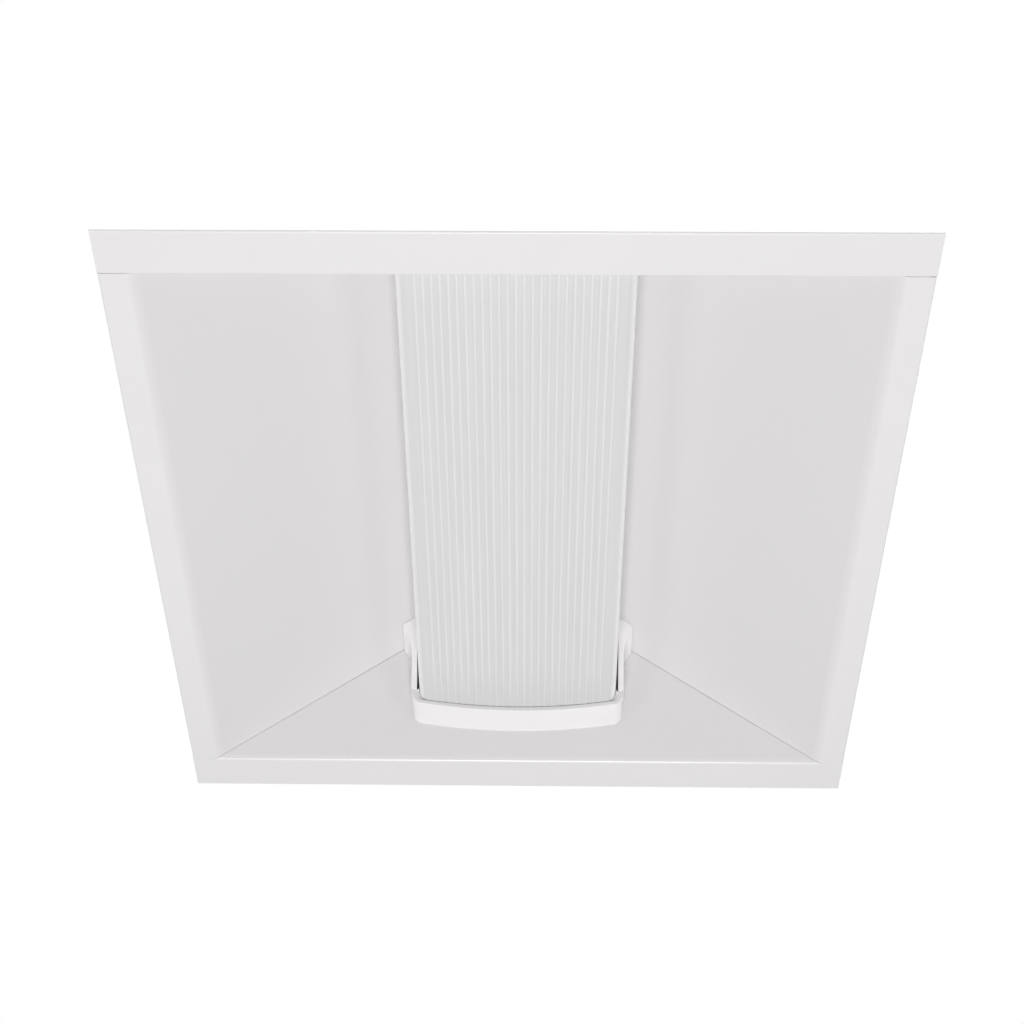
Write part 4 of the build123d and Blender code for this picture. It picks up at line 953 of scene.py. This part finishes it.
# %% Rivets
def dome(radius, tall, base, way, steps=2):
    """Half the outline of a low dome, from its rim to its middle."""
    return [
        (radius * math.cos(a), base + way * tall * (0.2 + 0.8 * math.sin(a)))
        for a in (math.pi / 2 * i / steps for i in range(steps))
    ] + [(0, base + way * tall)]


def rivet(head, head_tall, shank, grip, tail=0.0, tail_tall=0.0):
    """A rivet whose head sits on z = 0. Its tail, if one shows, lies below the grip."""
    bm = bmesh.new()
    upper = [(shank, 0), (head, 0)] + dome(head, head_tall, 0, 1)
    end = [(tail, -grip)] + dome(tail, tail_tall, -grip, -1) if tail else [(0, -grip)]
    turned(bm, ([(shank, -grip)] + end)[::-1] + upper, 12)
    return bm


corner_spots = spots_at((299.9,), (-258, 258), 8, TO_LEFT) + spots_at((-299.9,), (-258, 258), 8, TO_RIGHT)
corner_rivet = rivet(head=3.0, head_tall=1.0, shank=1.6, grip=1.6)
clip_spots = spots_at((-250, 250), (-271.5, 271.5), 15.4, UP)
clip_rivet = rivet(head=3.8, head_tall=1.2, shank=2.0, grip=2.2, tail=3.8, tail_tall=1.2)
spring_spots = spots_at((-82, 82), (-235.6, 168), 94.4, UP)
spring_rivet = rivet(head=2.2, head_tall=0.6, shank=1.2, grip=1.5, tail=2.2, tail_tall=0.6)
tray_spots = spots_at((222,), (-120, 120), 53, TO_RIGHT)
tray_rivet = rivet(head=3.0, head_tall=0.9, shank=1.6, grip=1.6, tail=3.0, tail_tall=0.9)
for name, node, piece, spots in (
    ("corner_rivet_set", "corner_rivets", corner_rivet, corner_spots),
    ("clip_rivet_set", "clip_rivets", clip_rivet, clip_spots),
    ("spring_rivet_set", "spring_rivets", spring_rivet, spring_spots),
    ("tray_rivet_set", "driver_tray_rivets", tray_rivet, tray_spots),
):
    set_out(name, node, bare_aluminium, piece, spots)

# %% [markdown]
# ## Make the LEDs
# Each package is a white cup, 3.5 by 2.8 mm, and its phosphor stands a little proud of it. The
# two boards carry 28 each, and they step from side to side to spread their light.

# %% LEDs
chips_per_board, chip_pitch, chip_step = 28, 13.5, 5.5
middle_chip = (chips_per_board - 1) / 2


def chip_spot(x, i):
    """The spot of LED number i on the board whose middle line is at x."""
    step = chip_step if i % 2 else -chip_step
    return (x + step, board_middle + (i - middle_chip) * chip_pitch, board_face), DOWN


chip_spots = [chip_spot(x, i) for x in board_x for i in range(chips_per_board)]
bm = bmesh.new()
half_long, half_wide = 1.75, 1.4
wall_top, edge_top, edge_share = 0.56, 0.62, 0.95
corners = [(-half_long, -half_wide), (half_long, -half_wide), (half_long, half_wide), (-half_long, half_wide)]
rings = [
    [bm.verts.new((x * share * MM, y * share * MM, z * MM)) for x, y in corners]
    for share, z in ((1, 0), (1, wall_top), (edge_share, edge_top))
]
for low, high in zip(rings, rings[1:]):
    for i in range(4):
        bm.faces.new((low[i], low[(i + 1) % 4], high[(i + 1) % 4], high[i]))
bm.faces.new(rings[0][::-1])
bm.faces.new(rings[-1])
set_out("led_package_set", "led_chips", led_package, bm, chip_spots)

bm = bmesh.new()
phosphor_disc = [(0, 0.5), (1.12, 0.5), (1.12, 0.63), (0.8, 0.69), (0, 0.7)]
turned(bm, phosphor_disc, 10)
set_out("led_phosphor_set", None, led_phosphor, bm, chip_spots)

# %% [markdown]
# ## Room and light
# The floor lies well below the camera, so it never comes between us and a light on the
# ceiling. The sky is white where the camera, a reflection or a clear surface looks at it,
# and a softer white as a source of light. The main lamp hangs straight below, because a lamp
# to one side would cast the lens's shadow on a reflector. Two small ones lift the reflectors,
# one at the height of the rim catches its folded edge, and one above lights the back.

# %% Floor, sky and lamps
white = linear("#ffffff")
floor_level, floor_half, floor_glow = -2.6, 14.0, 0.6
bm = bmesh.new()
level = Matrix.Translation((0, 0, floor_level))
bmesh.ops.create_grid(bm, x_segments=2, y_segments=2, size=floor_half, matrix=level)
floor_material, tree, shader = new_material("pale painted floor", "#ececec", 0.8)
# For the camera, the floor glows a little, so that it stays pale out to its far edge.
seen = add_node(tree, "ShaderNodeLightPath").outputs["Is Camera Ray"]
share = add_node(tree, "ShaderNodeMath", {"operation": "MULTIPLY"}, {0: seen, 1: floor_glow})
glow = add_node(tree, "ShaderNodeEmission", inputs={"Color": white, "Strength": 1.0})
mixed = add_node(tree, "ShaderNodeMixShader", inputs={0: share, 1: shader, 2: glow})
tree.links.new(mixed.outputs[0], tree.nodes["Material Output"].inputs["Surface"])
floor = to_object("floor", bm, floor_material)
floor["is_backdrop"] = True

ambient = 0.27
world = bpy.data.worlds.new("studio")
bpy.context.scene.world = world
world.use_nodes = True
tree = world.node_tree
tree.nodes.clear()
path = add_node(tree, "ShaderNodeLightPath").outputs
bent = add_node(tree, "ShaderNodeMath", {"operation": "MAXIMUM"}, {
    0: path["Is Glossy Ray"], 1: path["Is Transmission Ray"],
})
shown = add_node(tree, "ShaderNodeMath", {"operation": "MAXIMUM"}, {0: path["Is Camera Ray"], 1: bent})
soft = add_node(tree, "ShaderNodeBackground", inputs={"Color": white, "Strength": ambient})
plain = add_node(tree, "ShaderNodeBackground", inputs={"Color": white, "Strength": 1.0})
mixed = add_node(tree, "ShaderNodeMixShader", inputs={0: shown, 1: soft, 2: plain})
add_node(tree, "ShaderNodeOutputWorld", inputs={0: mixed})


def lamp(name, place, target, size, power):
    """A soft lamp at a place, turned to a target. Width and length in metres, power in watts."""
    light = bpy.data.lights.new(name, "AREA")
    light.shape = "RECTANGLE"
    light.size, light.size_y = size
    light.energy = power
    obj = bpy.data.objects.new(name, light)
    bpy.context.scene.collection.objects.link(obj)
    obj.location = place
    obj.rotation_mode = "QUATERNION"
    obj.rotation_quaternion = (Vector(target) - Vector(place)).to_track_quat("-Z", "Y")


lamp("below", (0, 0, -2.2), (0, 0, 0), (0.9, 0.5), 28.5)
lamp("left_near", (-1.0, -0.5, -0.8), (0, 0, 0), (0.4, 0.4), 2.2)
lamp("right_near", (1.0, -0.5, -0.8), (0, 0, 0), (0.4, 0.4), 2.0)
lamp("near_edge", (0, -2.2, 0.12), (0, -0.3, 0), (1.4, 0.2), 13)
lamp("overhead", (0.8, 1.0, 2.2), (0, 0, 0), (2.0, 2.0), 34)
bpy.context.scene.view_settings.view_transform = "Standard"
print("floor at", floor_level, "m, sky", ambient)

# %% [markdown]
# ## The box of the dressed object
# The box round the dressed object is worked out and printed. The dressed object must
# stay inside the box of its solids.

# %% Print the box of the dressed object
low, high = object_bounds()
print("visual box", [round(v, 4) for v in (*low, *high)])
